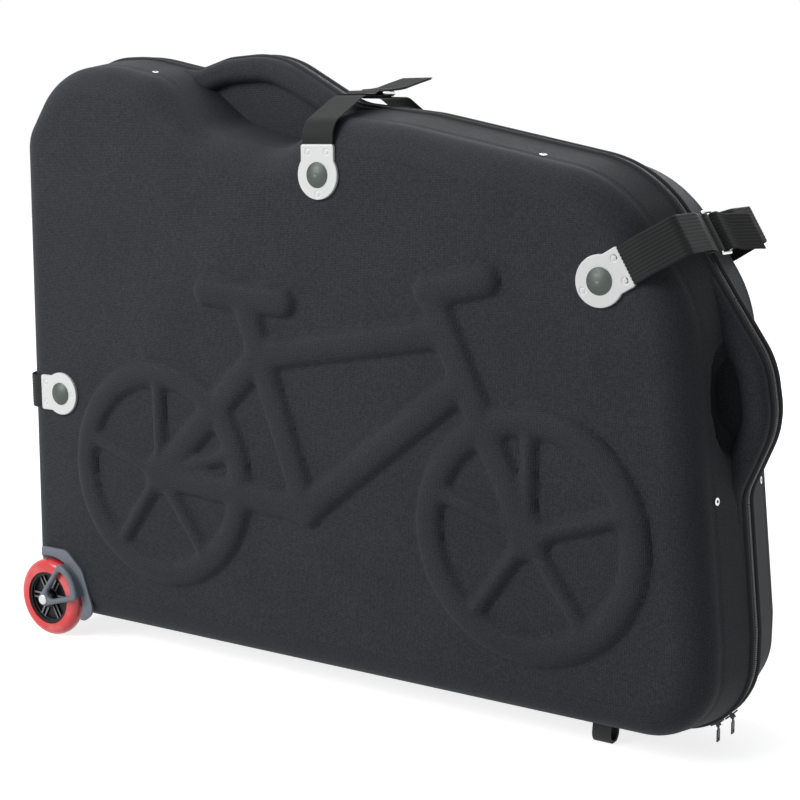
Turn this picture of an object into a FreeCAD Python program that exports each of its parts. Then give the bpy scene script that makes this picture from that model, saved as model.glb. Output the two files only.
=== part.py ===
# Bike travel case: two moulded halves that zip together, hinge along the bottom and roll on two wheels.
# Millimetres. X runs along the case, Y from front to back, Z up. The origin is on the floor, under the
# middle of the case, and the two halves close on the plane Y = 0.
import FreeCAD
import Part
import Sketcher
import math
import os
from FreeCAD import Placement, Rotation, Vector

doc = FreeCAD.newDocument("bike_travel_case")
sheet = doc.addObject("Spreadsheet::Sheet", "sizes")

SIZES = (
    ("half_depth", 125, "closing plane to the moulded face"),
    ("rim_gap", 7, "closing plane to the edge of a shell"),
    ("band_end", 16, "closing plane to the end of the straight rim band"),
    ("draft", 18, "how far the face's outline lies inside the rim band's"),
    ("edge_radius", 45, "rounding between face and side wall"),
    ("wall", 5, "thickness of the moulded foam wall"),
    ("seam_gap", 0.1, "play between pieces that are sewn or pressed together"),
    ("grip_width", 34, "grip arch, across the outline"),
    ("grip_depth", 34, "closing plane to the front of a grip arch"),
    ("grip_round", 12, "rounding of a grip arch"),
    ("grip_overlap", 10, "how far a grip arch runs into the body at each end"),
    ("pocket_width", 30, "side finger pocket, behind the grip arch"),
    ("pocket_depth", 52, "closing plane to the front lip of the side finger pocket"),
    ("pocket_low", 400, "lower end of the side finger pocket, above the floor"),
    ("pocket_high", 508, "upper end of the side finger pocket, above the floor"),
    ("relief_height", 8, "how far the bicycle relief stands out of the face"),
    ("relief_band", 36, "width of the relief's wheel rings"),
    ("relief_tube", 38, "width of the relief's frame tubes"),
    ("relief_spoke", 20, "width of the relief's spokes"),
    ("relief_hub", 28, "radius of the relief's hubs"),
    ("relief_wheel", 165, "outer radius of the relief's wheels"),
    ("relief_spoke_count", 5, "spokes in each relief wheel"),
    ("binding_proud", 2.5, "thickness of the binding round the rim"),
    ("tape_inset", 1.6, "zip tape, below the binding's outer face"),
    ("tape_thick", 1.4, "thickness of the zip tape"),
    ("teeth_half", 3.2, "half width of the closed zip teeth"),
    ("teeth_inset", 0.6, "zip teeth, below the binding's outer face"),
    ("teeth_thick", 3.6, "thickness of the zip teeth"),
    ("teeth_gap", 0.3, "play between the two rows of teeth"),
    ("gusset_half", 28, "closing plane to the fold line of the hinge gusset"),
    ("gusset_thick", 2, "thickness of the hinge gusset"),
    ("gusset_left", -490, "left end of the hinge gusset"),
    ("gusset_right", 455, "right end of the hinge gusset"),
    ("wheel_x", -518.5, "axle of the wheels, along the case"),
    ("wheel_radius", 60, "outer radius of a wheel"),
    ("wheel_width", 24, "width of a wheel"),
    ("tyre_thick", 19, "thickness of the tyre, from its tread to its seat on the hub"),
    ("tyre_round", 11, "rounding of the tyre's shoulders"),
    ("hub_rim_thick", 5, "thickness of the hub's rim"),
    ("hub_rim_width", 20, "width of the hub's rim"),
    ("hub_web", 5, "thickness of the hub's web"),
    ("hub_boss", 15, "radius of the hub's boss"),
    ("hub_land", 9, "bore of the hub between its bearings"),
    ("rib_pairs", 6, "pairs of ribs on the hub"),
    ("rib_width", 2.4, "width of one hub rib"),
    ("rib_gap", 5, "space between the two ribs of a pair"),
    ("rib_height", 3, "how far a rib stands out of the web"),
    ("rib_root", 1, "how far a rib runs into the boss and the rim"),
    ("bearing_radius", 11, "outer radius of a ball bearing"),
    ("bearing_width", 7, "width of a ball bearing"),
    ("axle_radius", 4, "radius of the axle bolt"),
    ("run_gap", 0.05, "radial running clearance"),
    ("spacer_radius", 7, "outer radius of the bearing spacer"),
    ("side_gap", 0.2, "play beside the bearings"),
    ("bolt_head_radius", 8, "radius of the axle bolt's head"),
    ("bolt_head_height", 4.5, "height of the axle bolt's head"),
    ("nut_radius", 7.5, "axle nut, across its corners by half"),
    ("nut_height", 6.5, "height of the axle nut"),
    ("thread_out", 1, "how far the axle bolt stands out of its nut"),
    ("well_gap", 6, "play round the tyre in its well"),
    ("well_wall", 4, "wall of the wheel housing"),
    ("well_back", 5, "play behind the wheel in its well"),
    ("arm_gap", 4, "play between the wheel and its fork arm"),
    ("boss_radius", 11, "radius of the fork arm's axle boss"),
    ("arm_low_deg", 2, "lower edge of the fork arm, degrees above level"),
    ("arm_high_deg", 58, "upper edge of the fork arm, degrees above level"),
    ("arm_rail", 7.5, "width of the fork arm's rails"),
    ("window_edge", 11, "fork arm's window to the outer edge of the hood"),
    ("screw_radius", 2, "radius of a housing screw"),
    ("screw_head", 3.8, "radius of a housing screw's head"),
    ("screw_head_height", 2.5, "height of a housing screw's head"),
    ("screw_land", 5.5, "well's outer wall to the middle of a housing screw"),
    ("screw_bite", 2.8, "how far a housing screw runs into the cover"),
    ("foot_x", 405, "middle of the feet, along the case"),
    ("foot_y", 60, "middle of a foot, from the closing plane"),
    ("foot_radius", 14, "outer radius of a foot's loop"),
    ("foot_strip", 4, "thickness of a foot's strip"),
    ("foot_width", 25, "width of a foot's strip"),
    ("foot_flange", 40, "length of a foot's flange"),
    ("foot_flange_thick", 3, "thickness of a foot's flange"),
    ("foot_flat", 1, "how much of a foot's loop is cut flat"),
    ("strap_rim", 94, "strap rivet to the rim, along the strap that spans it closest"),
    ("strap_width", 50, "width of the webbing"),
    ("strap_thick", 2, "thickness of the webbing"),
    ("strap_bend", 30, "bend of the webbing over the edge of the shell"),
    ("strap_tail", 58, "free tail of the back webbing past the roller"),
    ("strap_sewn", 20, "sewn overlap of the front webbing"),
    ("neck_start", 7, "ring bar to the start of the front webbing's neck"),
    ("neck_end", 17, "ring bar to the end of the front webbing's neck"),
    ("plate_radius", 32, "round end of a strap plate"),
    ("plate_reach", 40, "rivet to the straight end of a strap plate"),
    ("plate_width", 53, "straight end of a strap plate"),
    ("plate_skin", 1, "metal above and below the webbing in a strap plate"),
    ("plate_gap", 0.3, "play between a strap plate and the shell"),
    ("plate_grip", 12, "length of webbing held in a strap plate"),
    ("rivet_cap", 17, "radius of a rivet's domed cap"),
    ("rivet_dome", 5.5, "height of a rivet's domed cap"),
    ("rivet_radius", 4, "radius of a rivet's shank"),
    ("rivet_tail", 7, "radius of a rivet's set tail"),
    ("rivet_tail_height", 2, "height of a rivet's set tail"),
    ("washer_radius", 12, "radius of a rivet washer"),
    ("washer_thick", 1.5, "thickness of a rivet washer"),
    ("ring_stand", 12, "rim to the middle of a buckle ring"),
    ("ring_half", 12, "half length of a buckle ring, between its bars"),
    ("ring_wire", 2, "radius of a buckle ring's wire"),
    ("ring_side", 1, "play between the webbing and a buckle ring's side"),
    ("roller_radius", 4, "outer radius of a buckle roller"),
    ("eyelet_bore", 2.2, "bore of a breather eyelet"),
    ("eyelet_barrel", 3.2, "outer radius of an eyelet's barrel"),
    ("eyelet_flange", 4.8, "radius of an eyelet's flange"),
    ("eyelet_flange_thick", 0.8, "thickness of an eyelet's flange"),
    ("eyelet_y", 70, "breather eyelets, from the closing plane"),
    ("slider_upper_deg", -46.5, "upper zip slider on the toe's arc, degrees"),
    ("slider_lower_deg", -59, "lower zip slider on the toe's arc, degrees"),
    ("slider_sweep_deg", 4.6, "half length of a zip slider, degrees of the toe's arc"),
    ("slider_width", 9.2, "width of a zip slider"),
    ("slider_wing", 2, "thickness of a zip slider's wings"),
    ("slider_rise", 2.8, "play between the teeth and the outer wing"),
    ("slider_post", 2, "width of the post between a slider's wings"),
    ("slider_travel_deg", 34, "degrees of the toe's arc that are free for the sliders' posts"),
    ("lug_height", 4, "height of a zip slider's lug"),
    ("lug_width", 6.8, "width of a zip slider's lug"),
    ("lug_ear", 0.8, "thickness of a lug's ear"),
    ("pin_radius", 0.9, "radius of the pin that a zip pull hangs on"),
    ("pull_eye", 2, "outer radius of a zip pull's eye"),
    ("pull_length", 22, "length of a zip pull below its pin"),
    ("pull_width", 8, "width of a zip pull"),
    ("pull_thick", 1.6, "thickness of a zip pull"),
    ("pull_hole", 2, "radius of the hole in a zip pull"),
)

# Corners of the closed rim as seen from the front, clockwise from the bottom left: name, x, z, rounding.
RIM_CORNERS = (
    ("heel", -580.5, 18, 75),
    ("shoulder", -566.5, 773, 77),
    ("crown_left", -490, 880, 132),
    ("crown_right", -378, 880, 260),
    ("top_grip_start", -284, 860, 50),
    ("top_grip_rise", -230, 875, 90),
    ("top_grip_peak", -140, 880, 160),
    ("top_grip_end", -10, 809, 82),
    ("brow", 118, 794, 300),
    ("slope", 410, 734, 180),
    ("nose", 464, 685, 144),
    ("side_grip_start", 540, 569, 70),
    ("side_grip_upper", 589, 496, 120),
    ("side_grip_lower", 601, 421, 110),
    ("hip", 580, 156, 120),
    ("toe", 578, 18, 104),
)

# Corners of the body's outline where it dips below the top grip arch: name, x, z, rounding.
RECESS_CORNERS = (
    ("recess_left", -195, 788, 80),
    ("recess_right", -78, 758, 70),
)

# Corners that lie on a run between two others: name, both ends of the run, share of the run, rounding.
RUN_CORNERS = (
    ("side_grip_end", "side_grip_start", "hip", 0.576, 50),
    ("recess_start", "crown_right", "top_grip_start", 0.94, 80),
    ("recess_end", "top_grip_end", "brow", 0.1, 80),
)

# The rim's outline, clockwise as seen from the front, with the two grip arches.
RIM_NAMES = ("heel", "shoulder", "crown_left", "crown_right", "top_grip_start", "top_grip_rise", "top_grip_peak",
             "top_grip_end", "brow", "slope", "nose", "side_grip_start", "side_grip_upper", "side_grip_lower",
             "side_grip_end", "hip", "toe")

# The body's outline: the rim's corners without the grip arches, with the recess.
BODY_NAMES = ("heel", "shoulder", "crown_left", "crown_right", "recess_start", "recess_left", "recess_right",
              "recess_end", "brow", "slope", "nose", "side_grip_start", "hip", "toe")

# Joints of the bicycle relief's frame on the face: name, x, z.
RELIEF_POINTS = (
    ("rear_axle", -283, 283),
    ("front_axle", 326, 272),
    ("crank", -20, 262),
    ("seat_joint", -95, 470),
    ("saddle", -122, 545),
    ("saddle_tail", -190, 553),
    ("saddle_nose", -55, 545),
    ("head_low", 222, 452),
    ("head_high", 198, 520),
    ("bar_rise", 180, 572),
    ("bar_end", 262, 590),
)

# Tubes of the relief's frame, each between two joints.
RELIEF_TUBES = (
    ("rear_axle", "crank"),
    ("rear_axle", "seat_joint"),
    ("crank", "saddle"),
    ("saddle_tail", "saddle_nose"),
    ("seat_joint", "head_high"),
    ("crank", "head_low"),
    ("front_axle", "bar_rise"),
    ("bar_rise", "bar_end"),
)

# Straps: name, rivet's x and z on the face, direction of the strap in degrees above +X.
STRAPS = (
    ("top", 8, 715.7, 90),
    ("right", 420.5, 596.5, 30),
    ("left", -479.7, 383, 180),
)

# Breather eyelets in the side walls: name, the corner that its stretch of wall starts at, distance from there.
EYELETS = (
    ("crown_eyelet", "crown_right", 60),
    ("slope_eyelet", "brow", 200),
    ("side_eyelet", "side_grip_start", 235),
)

# Housing screws round the well: name, degrees above +X.
HOUSING_SCREWS = (
    ("screw_top", 75),
    ("screw_side", 36),
    ("screw_low", 18),
)

# Corners of the wheel housing's cover plate, from the axle in parts of the well's outer radius: name, x, z, rounding.
COVER_CORNERS = (
    ("cover_left", -0.24, -0.37, 0.06),
    ("cover_top_left", -0.24, 1.13, 0.06),
    ("cover_top", 0.51, 1.13, 0.31),
    ("cover_side", 0.97, 0.73, 0.43),
    ("cover_right", 1.28, -0.17, 0.29),
    ("cover_low", 1.0, -0.39, 0.14),
)


# Largest part of a straight run that the arcs at its two ends may take up.
ARC_SHARE = 0.98


class Cell:
    """A value of the sheet that keeps its expression, so that it can be worked out and bound."""

    def __init__(self, value, text):
        self.value = value
        self.text = text

    def __float__(self):
        return float(self.value)

    def __add__(self, other):
        return Cell(float(self) + float(other), f"({self.text} + {text_of(other)})")

    def __sub__(self, other):
        return Cell(float(self) - float(other), f"({self.text} - {text_of(other)})")

    def __mul__(self, other):
        return Cell(float(self) * float(other), f"({self.text} * {text_of(other)})")

    def __truediv__(self, other):
        return Cell(float(self) / float(other), f"({self.text} / {text_of(other)})")

    def __neg__(self):
        return Cell(-float(self), f"(0 - {self.text})")


def text_of(value):
    """The expression of a cell, or a plain number as text."""
    return value.text if isinstance(value, Cell) else repr(float(value))


row_count = 0


def put_size(alias, value, note):
    """Write one driving size into the next row of the sheet."""
    global row_count
    row_count += 1
    sheet.set(f"A{row_count}", alias)
    sheet.set(f"B{row_count}", str(value))
    sheet.setAlias(f"B{row_count}", alias)
    sheet.set(f"C{row_count}", note)


def put_points(points, note):
    """Write a table of named points, each with x, z and any rounding."""
    for point in points:
        for letter, value in zip(("x", "z", "radius"), point[1:]):
            put_size(f"{point[0]}_{letter}", value, f"{note}: {letter} of {point[0]}")


for size_row in SIZES:
    put_size(*size_row)
put_points(RIM_CORNERS, "rim outline")
put_points(RECESS_CORNERS, "body outline")
put_points(RELIEF_POINTS, "bicycle relief")
put_points(COVER_CORNERS, "housing cover, in parts of the well's outer radius")
for screw_name, screw_deg in HOUSING_SCREWS:
    put_size(f"{screw_name}_deg", screw_deg, "housing screw round the well, degrees above +X")
for run_name, _, _, run_share, run_radius in RUN_CORNERS:
    put_size(f"{run_name}_share", run_share, "corner on a run, share of the run")
    put_size(f"{run_name}_radius", run_radius, "corner on a run, rounding")
for strap_name, rivet_x, rivet_z, strap_angle in STRAPS:
    put_size(f"{strap_name}_rivet_x", rivet_x, "strap rivet, along the case")
    put_size(f"{strap_name}_rivet_z", rivet_z, "strap rivet, above the floor")
    put_size(f"{strap_name}_strap_deg", strap_angle, "direction of the strap, degrees above +X")
for eyelet_name, _, along in EYELETS:
    put_size(f"{eyelet_name}_along", along, "breather eyelet, from the start of its stretch of wall")
doc.recompute()


def cell(alias):
    """A driving size as a cell."""
    return Cell(float(sheet.get(alias)), f"sizes.{alias}")


def size(alias):
    """A driving size as a number."""
    return float(sheet.get(alias))


def bind(obj, **properties):
    """Tie properties of a document object to the sheet; a dot in a property's path is written as two underscores."""
    for name, value in properties.items():
        obj.setExpression(name.replace("__", "."), text_of(value))


def rod(name, radius, length, x, y, z):
    """Cylinder along +Y whose near end is centred on x, y, z."""
    obj = doc.addObject("Part::Cylinder", name)
    obj.Placement = Placement(Vector(), Rotation(Vector(1, 0, 0), -90))
    bind(obj, Radius=radius, Height=length, Placement__Base__x=x, Placement__Base__y=y, Placement__Base__z=z)
    return obj


def block(name, length, width, height, x, y, z):
    """Box with its lowest corner on x, y, z."""
    obj = doc.addObject("Part::Box", name)
    bind(obj, Length=length, Width=width, Height=height)
    bind(obj, Placement__Base__x=x, Placement__Base__y=y, Placement__Base__z=z)
    return obj


def fuse(name, *parts):
    """Union of document objects."""
    obj = doc.addObject("Part::MultiFuse", name)
    obj.Shapes = list(parts)
    return obj


def cut(name, base, *tools):
    """A document object with one or more tools taken away."""
    obj = doc.addObject("Part::Cut", name)
    obj.Base = base
    obj.Tool = tools[0] if len(tools) == 1 else fuse(name + "_tools", *tools)
    return obj


def tube(name, outer, inner, length, x, y, z):
    """Hollow cylinder along +Y."""
    return cut(name, rod(name + "_outer", outer, length, x, y, z), rod(name + "_bore", inner, length, x, y, z))


def group(name, parts):
    """Separate like pieces kept together as one sub-part."""
    obj = doc.addObject("Part::Compound", name)
    obj.Links = list(parts)
    return obj


def mirrored(name, source):
    """The back half's copy of a front piece, across the closing plane."""
    obj = doc.addObject("Part::Mirroring", name)
    obj.Source = source
    obj.Normal = Vector(0, 1, 0)
    return obj


def formed(name, shape, placement=None):
    """A sub-part whose shape is worked out with Part's own functions."""
    obj = doc.addObject("Part::Feature", name)
    obj.Shape = shape
    obj.Placement = (placement or Placement()) * shape.Placement
    return obj


def turned(name, profile):
    """Body turned about an axis along +Y: a closed profile of (radius, station) corners."""
    body = doc.addObject("PartDesign::Body", name)
    sketch = body.newObject("Sketcher::SketchObject", name + "_profile")
    sketch.AttachmentSupport = [(origin_plane(body, "XY_Plane"), "")]
    sketch.MapMode = "FlatFace"
    draw(sketch, profile)
    turn = body.newObject("PartDesign::Revolution", name + "_turn")
    turn.Profile = sketch
    turn.ReferenceAxis = (sketch, ["V_Axis"])
    turn.Angle = 360
    doc.recompute()
    return body


def origin_plane(body, role):
    """One of a body's own origin planes."""
    return next(plane for plane in body.Origin.OriginFeatures if plane.Role == role)


def draw(sketch, corners):
    """Closed straight-sided outline whose corners are tied to the sheet."""
    points = [Vector(float(x), float(y), 0) for x, y in corners]
    count = len(points)
    for i in range(count):
        sketch.addGeometry(Part.LineSegment(points[i], points[(i + 1) % count]), False)
    constraint = sketch.addConstraint
    for i in range(count):
        constraint(Sketcher.Constraint("Coincident", i, 2, (i + 1) % count, 1))
    for i, (x, y) in enumerate(corners):
        across = constraint(Sketcher.Constraint("DistanceX", -1, 1, i, 1, float(x)))
        sketch.setExpression(f"Constraints[{across}]", text_of(x))
        along = constraint(Sketcher.Constraint("DistanceY", -1, 1, i, 1, float(y)))
        sketch.setExpression(f"Constraints[{along}]", text_of(y))


def corner_list(names):
    """Corners of an outline from the sheet."""
    runs = {name: (first, second) for name, first, second, _, _ in RUN_CORNERS}
    corners = []
    for name in names:
        if name in runs:
            share = size(f"{name}_share")
            x, z = (size(f"{runs[name][0]}_{axis}") * (1 - share) + size(f"{runs[name][1]}_{axis}") * share
                    for axis in "xz")
        else:
            x, z = size(f"{name}_x"), size(f"{name}_z")
        corners.append((x, z, size(f"{name}_radius")))
    return corners


def rounded_path(corners, inset, closed):
    """Arcs and straight runs of an outline in X and Z, moved to the right of its direction by an inset.

    The runs move sideways together, so that an arc keeps its centre: a right turn gets tighter by the inset
    and a left turn wider. Two arcs that would meet on the run between them are both made smaller.
    """
    points = [Vector(x, 0, z) for x, z, _ in corners]
    count = len(points)
    last = count if closed else count - 1
    runs = [(points[(i + 1) % count] - points[i]).normalize() for i in range(last)]
    rights = [Vector(run.z, 0, -run.x) for run in runs]
    moved = []
    for i in range(count):
        before = rights[i - 1] if closed or i > 0 else rights[0]
        after = rights[i] if closed or i < last else rights[last - 1]
        moved.append(points[i] + (before + after) * (inset / (1 + before.dot(after))))
    half_turns = [0.0] * count
    reaches = [0.0] * count
    for i in range(count):
        if closed or 0 < i < last:
            come, leave = runs[i - 1], runs[i]
            half_turns[i] = 0.5 * math.acos(max(-1, min(1, come.dot(leave))))
            right_turn = come.x * leave.z - come.z * leave.x < 0
            radius = corners[i][2] - inset if right_turn else corners[i][2] + inset
            reaches[i] = radius * math.tan(half_turns[i])
    shares = [1.0] * count
    for i in range(last):
        after = (i + 1) % count
        wanted = reaches[i] + reaches[after]
        room = ARC_SHARE * (moved[after] - moved[i]).Length
        if wanted > room:
            shares[i] = min(shares[i], room / wanted)
            shares[after] = min(shares[after], room / wanted)
    bends = []
    for i in range(count):
        if half_turns[i] == 0:
            bends.append((moved[i], None, moved[i]))
            continue
        reach = reaches[i] * shares[i]
        radius = reach / math.tan(half_turns[i])
        inward = (runs[i] - runs[i - 1]).normalize()
        middle = moved[i] + inward * (radius / math.cos(half_turns[i]) - radius)
        bends.append((moved[i] - runs[i - 1] * reach, middle, moved[i] + runs[i] * reach))
    edges = []
    for i in range(count):
        start, middle, end = bends[i]
        if middle is not None:
            edges.append(Part.Arc(start, middle, end).toShape())
        if closed or i < count - 1:
            edges.append(Part.LineSegment(end, bends[(i + 1) % count][0]).toShape())
    return edges


def outline(corners, inset, y):
    """Closed outline parallel to the face, at a depth y."""
    wire = Part.Wire(rounded_path(corners, inset, True))
    wire.translate(Vector(0, y, 0))
    return wire


def slab(corners, inset, front, back):
    """Straight-sided solid of an outline between two depths."""
    return Part.Face(outline(corners, inset, front)).extrude(Vector(0, back - front, 0))


def strip(corners, inset, thick, front, back):
    """Ring along an outline: its outer face lies at the inset, its inner one deeper by its thickness."""
    return slab(corners, inset, front, back).cut(slab(corners, inset + thick, front, back))


def box_between(low, high):
    """Box from its lowest to its highest corner."""
    return Part.makeBox(high[0] - low[0], high[1] - low[1], high[2] - low[2], Vector(*low))


def edges_at_depth(shape, y):
    """Edges that lie in the plane at depth y."""
    return [edge for edge in shape.Edges if all(abs(point.Point.y - y) < 1e-6 for point in edge.Vertexes)]


def along_y(radius, x, z, front, back):
    """Cylinder along +Y between two depths."""
    return Part.makeCylinder(radius, back - front, Vector(x, front, z), Vector(0, 1, 0))


def sector(inner, outer, front, back, start, end):
    """Part of a ring about +Y, between two angles in degrees above +X."""
    ring = Part.makeCylinder(outer, back - front, Vector(), Vector(0, 0, 1), end - start)
    if inner > 0:
        ring = ring.cut(Part.makeCylinder(inner, back - front))
    ring.Placement = Placement(Vector(0, front, 0), Rotation(Vector(0, 1, 0), -end) * Rotation(Vector(1, 0, 0), -90))
    return ring


rim = corner_list(RIM_NAMES)
body = corner_list(BODY_NAMES)
face_y = -size("half_depth")
band_y = -size("band_end")
edge_y = -size("rim_gap")
inner_y = face_y + size("wall")
floor_z = size("heel_z")
wide = sum(abs(corner[0]) for corner in (rim[0], rim[-1]))
tall = size("crown_left_z")
axle_x = size("wheel_x")
axle_z = size("wheel_radius")
well_radius = size("wheel_radius") + size("well_gap")
cup_radius = well_radius + size("well_wall")
wheel_front = face_y - size("wheel_width") / 2
wheel_back = face_y + size("wheel_width") / 2
cup_floor_front = wheel_back + size("well_back")
cup_floor_back = cup_floor_front + size("well_wall")
cover_front = face_y - size("well_wall")
arm_back = wheel_front - size("arm_gap")
arm_front = arm_back - size("well_wall")


def drafted(corners, inset, face):
    """Body with a straight rim band and side walls that lean in towards a face, before its edge is rounded."""
    base = outline(corners, inset, band_y)
    top = outline(corners, inset + size("draft"), face)
    return Part.makeLoft([base, top], True, True)


def grip_arch(low, high):
    """Rounded arch along the rim inside a box of X and Z."""
    proud = size("binding_proud")
    arch = strip(rim, proud, size("grip_width"), -size("grip_depth"), edge_y)
    arch = arch.common(box_between((low[0], face_y, low[1]), (high[0], 0, high[1])))
    front = edges_at_depth(arch, -size("grip_depth"))
    return arch.makeFillet(size("grip_round"), [edge for edge in front if not is_arch_end(edge, low, high)])


def is_arch_end(edge, low, high):
    """Whether an edge lies in one of the planes that cut a grip arch to length."""
    first, second = (point.Point for point in edge.Vertexes)
    for limit in (low[0], high[0]):
        if abs(first.x - limit) < 1e-6 and abs(second.x - limit) < 1e-6:
            return True
    for limit in (low[1], high[1]):
        if abs(first.z - limit) < 1e-6 and abs(second.z - limit) < 1e-6:
            return True
    return False


def side_pocket(grow):
    """Finger pocket behind the side grip arch, with an allowance on every side but the closing one."""
    inset = size("binding_proud") + size("grip_width")
    pocket = strip(rim, inset - grow, size("pocket_width") + 2 * grow, -size("pocket_depth") - grow, band_y + grow)
    low = (0, face_y, size("pocket_low") - grow)
    high = (wide, 0, size("pocket_high") + grow)
    return pocket.common(box_between(low, high))


def relief():
    """Plain bicycle raised on the face: rings, spokes and the frame's tubes as one flat pad."""
    spots = {name: Vector(size(f"{name}_x"), face_y, size(f"{name}_z")) for name, _, _ in RELIEF_POINTS}
    height = size("relief_height")
    depth = size("wall")
    pads = []
    outer = size("relief_wheel")
    inner = outer - size("relief_band")
    for axle in ("rear_axle", "front_axle"):
        centre = spots[axle]
        ring = along_y(outer, centre.x, centre.z, face_y - height, face_y + depth)
        pads.append(ring.cut(along_y(inner, centre.x, centre.z, face_y - height, face_y + depth)))
        pads.append(along_y(size("relief_hub"), centre.x, centre.z, face_y - height, face_y + depth))
        count = int(size("relief_spoke_count"))
        for i in range(count):
            turn = math.radians(90 + 360 * i / count)
            tip = centre + Vector(math.cos(turn), 0, math.sin(turn)) * (inner + size("relief_band") / 2)
            pads.append(bar(centre, tip, size("relief_spoke"), height, depth))
    for start, end in RELIEF_TUBES:
        pads.append(bar(spots[start], spots[end], size("relief_tube"), height, depth))
    return pads[0].multiFuse(pads[1:]).removeSplitter()


def bar(start, end, width, height, depth):
    """Round-ended bar on the face between two points, standing out by a height and rooted in the wall."""
    run = end - start
    across = Vector(run.z, 0, -run.x).normalize() * (width / 2)
    past = Vector(run).normalize() * (width / 2)
    corners = (start + across, end + across, end + past, end - across, start - across, start - past)
    edges = [
        Part.LineSegment(corners[0], corners[1]).toShape(),
        Part.Arc(corners[1], corners[2], corners[3]).toShape(),
        Part.LineSegment(corners[3], corners[4]).toShape(),
        Part.Arc(corners[4], corners[5], corners[0]).toShape(),
    ]
    pad = Part.Face(Part.Wire(edges)).extrude(Vector(0, -height - depth, 0))
    pad.translate(Vector(0, depth, 0))
    return pad


def wall_lean():
    """Angle by which the side walls lean in, in degrees."""
    return math.degrees(math.atan2(size("draft"), size("half_depth") - size("band_end")))


def wall_inset(y):
    """How far the side wall's outer face lies inside the rim at a depth y."""
    return size("binding_proud") + size("draft") * (band_y - y) / (band_y - face_y)


def eyelet_placement(name, corner, extra):
    """Placement of an eyelet: local +Y points out of the wall; extra moves it along that way."""
    corners = dict(zip(BODY_NAMES, body))
    following = BODY_NAMES[BODY_NAMES.index(corner) + 1]
    start = Vector(corners[corner][0], 0, corners[corner][1])
    run = (Vector(corners[following][0], 0, corners[following][1]) - start).normalize()
    inward = Vector(run.z, 0, -run.x)
    lean = math.radians(wall_lean())
    y = -size("eyelet_y")
    spot = start + run * size(f"{name}_along") + inward * wall_inset(y) + Vector(0, y, 0)
    out = inward * -math.cos(lean) + Vector(0, -math.sin(lean), 0)
    return Placement(spot + out * extra, Rotation(Vector(0, 1, 0), out))


def gusset_level():
    """Height of the shells' bottom wall at the fold lines of the hinge gusset."""
    return floor_z + wall_inset(-size("gusset_half"))


def rounded_lid(inset, y, radius):
    """Drafted body up to a depth, with its edge there rounded."""
    solid = drafted(body, inset, y)
    return solid.makeFillet(radius, edges_at_depth(solid, y))


def moulded_half():
    """Front shell: drafted body, rim band, grip arches and relief, hollowed out and drilled."""
    proud = size("binding_proud")
    wall = size("wall")
    over = size("grip_overlap")
    top_low = (size("top_grip_start_x") - over, size("recess_right_z") - over)
    top_high = (size("top_grip_end_x") + over, tall)
    side_low = (size("side_grip_start_x") - size("grip_width") * 2, rim[RIM_NAMES.index("side_grip_end")][1] - over)
    side_high = (wide, size("side_grip_start_z") + over)
    solid = rounded_lid(proud, face_y, size("edge_radius")).multiFuse([
        slab(rim, proud, band_y, edge_y),
        grip_arch(top_low, top_high),
        grip_arch(side_low, side_high),
        relief(),
    ])
    cavity = rounded_lid(proud + wall, inner_y, size("edge_radius") - wall)
    cavity = cavity.fuse(slab(body, proud + wall, band_y, 0)).cut(side_pocket(wall))
    opening = box_between((size("gusset_left"), -size("gusset_half"), 0),
                          (size("gusset_right"), 0, gusset_level() + 2 * wall))
    well = along_y(cup_radius + size("plate_gap"), axle_x, axle_z, face_y - wall, cup_floor_back + size("plate_gap"))
    nut_room = along_y(size("nut_radius") + size("plate_gap"), axle_x, axle_z, cup_floor_back,
                       cup_floor_back + size("nut_height") + size("thread_out") + size("plate_gap"))
    holes = []
    for name, _, _, _ in STRAPS:
        holes.append(along_y(size("rivet_radius") + size("seam_gap"), size(f"{name}_rivet_x"),
                             size(f"{name}_rivet_z"), face_y - wall, inner_y + wall))
    for name, _ in HOUSING_SCREWS:
        holes.append(along_y(size("screw_radius") + size("seam_gap"), *screw_spot(name), face_y - wall, inner_y + wall))
        holes.append(along_y(size("screw_head") + size("seam_gap"), *screw_spot(name), inner_y,
                             inner_y + size("screw_head_height") + size("seam_gap")))
    for name, corner, _ in EYELETS:
        hole = Part.makeCylinder(size("eyelet_barrel") + size("seam_gap"), 4 * wall, Vector(), Vector(0, 1, 0))
        hole.Placement = eyelet_placement(name, corner, -2 * wall)
        holes.append(hole)
    return solid.cut([cavity, side_pocket(0), opening, well, nut_room] + holes).removeSplitter()


def zip_edge(inset, thick, front, back):
    """Strip along the zipped part of the rim: everything but the hinge gusset's stretch."""
    low = (size("gusset_left"), front - 1, 0)
    high = (size("gusset_right"), back + 1, gusset_level() + 2 * size("edge_radius"))
    return strip(rim, inset, thick, front, back).cut(box_between(low, high))


def toe_arc():
    """Centre of the rim's arc at the toe, where the zip sliders stand."""
    arc = outline(rim, 0, 0).OrderedEdges
    rounds = [edge.Curve for edge in arc if isinstance(edge.Curve, Part.Circle)]
    return min(rounds, key=lambda curve: (curve.Center - Vector(size("toe_x"), 0, size("toe_z"))).Length)


def zip_teeth():
    """One row of zip teeth above the hinge's fold lines, notched where the sliders' posts run."""
    row = zip_edge(size("teeth_inset"), size("teeth_thick"), -size("teeth_half"), -size("teeth_gap") / 2)
    arc = toe_arc()
    middle = (size("slider_upper_deg") + size("slider_lower_deg")) / 2
    track = sector(arc.Radius - 2 * size("teeth_thick"), arc.Radius + size("teeth_thick"),
                   -size("slider_post") / 2 - size("teeth_gap"), 0,
                   middle - size("slider_travel_deg"), middle + size("slider_travel_deg"))
    track.translate(arc.Center)
    under = box_between((-wide, -wide, 0), (wide, wide, gusset_level() + size("gusset_thick")))
    return row.cut([track, under])


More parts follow.
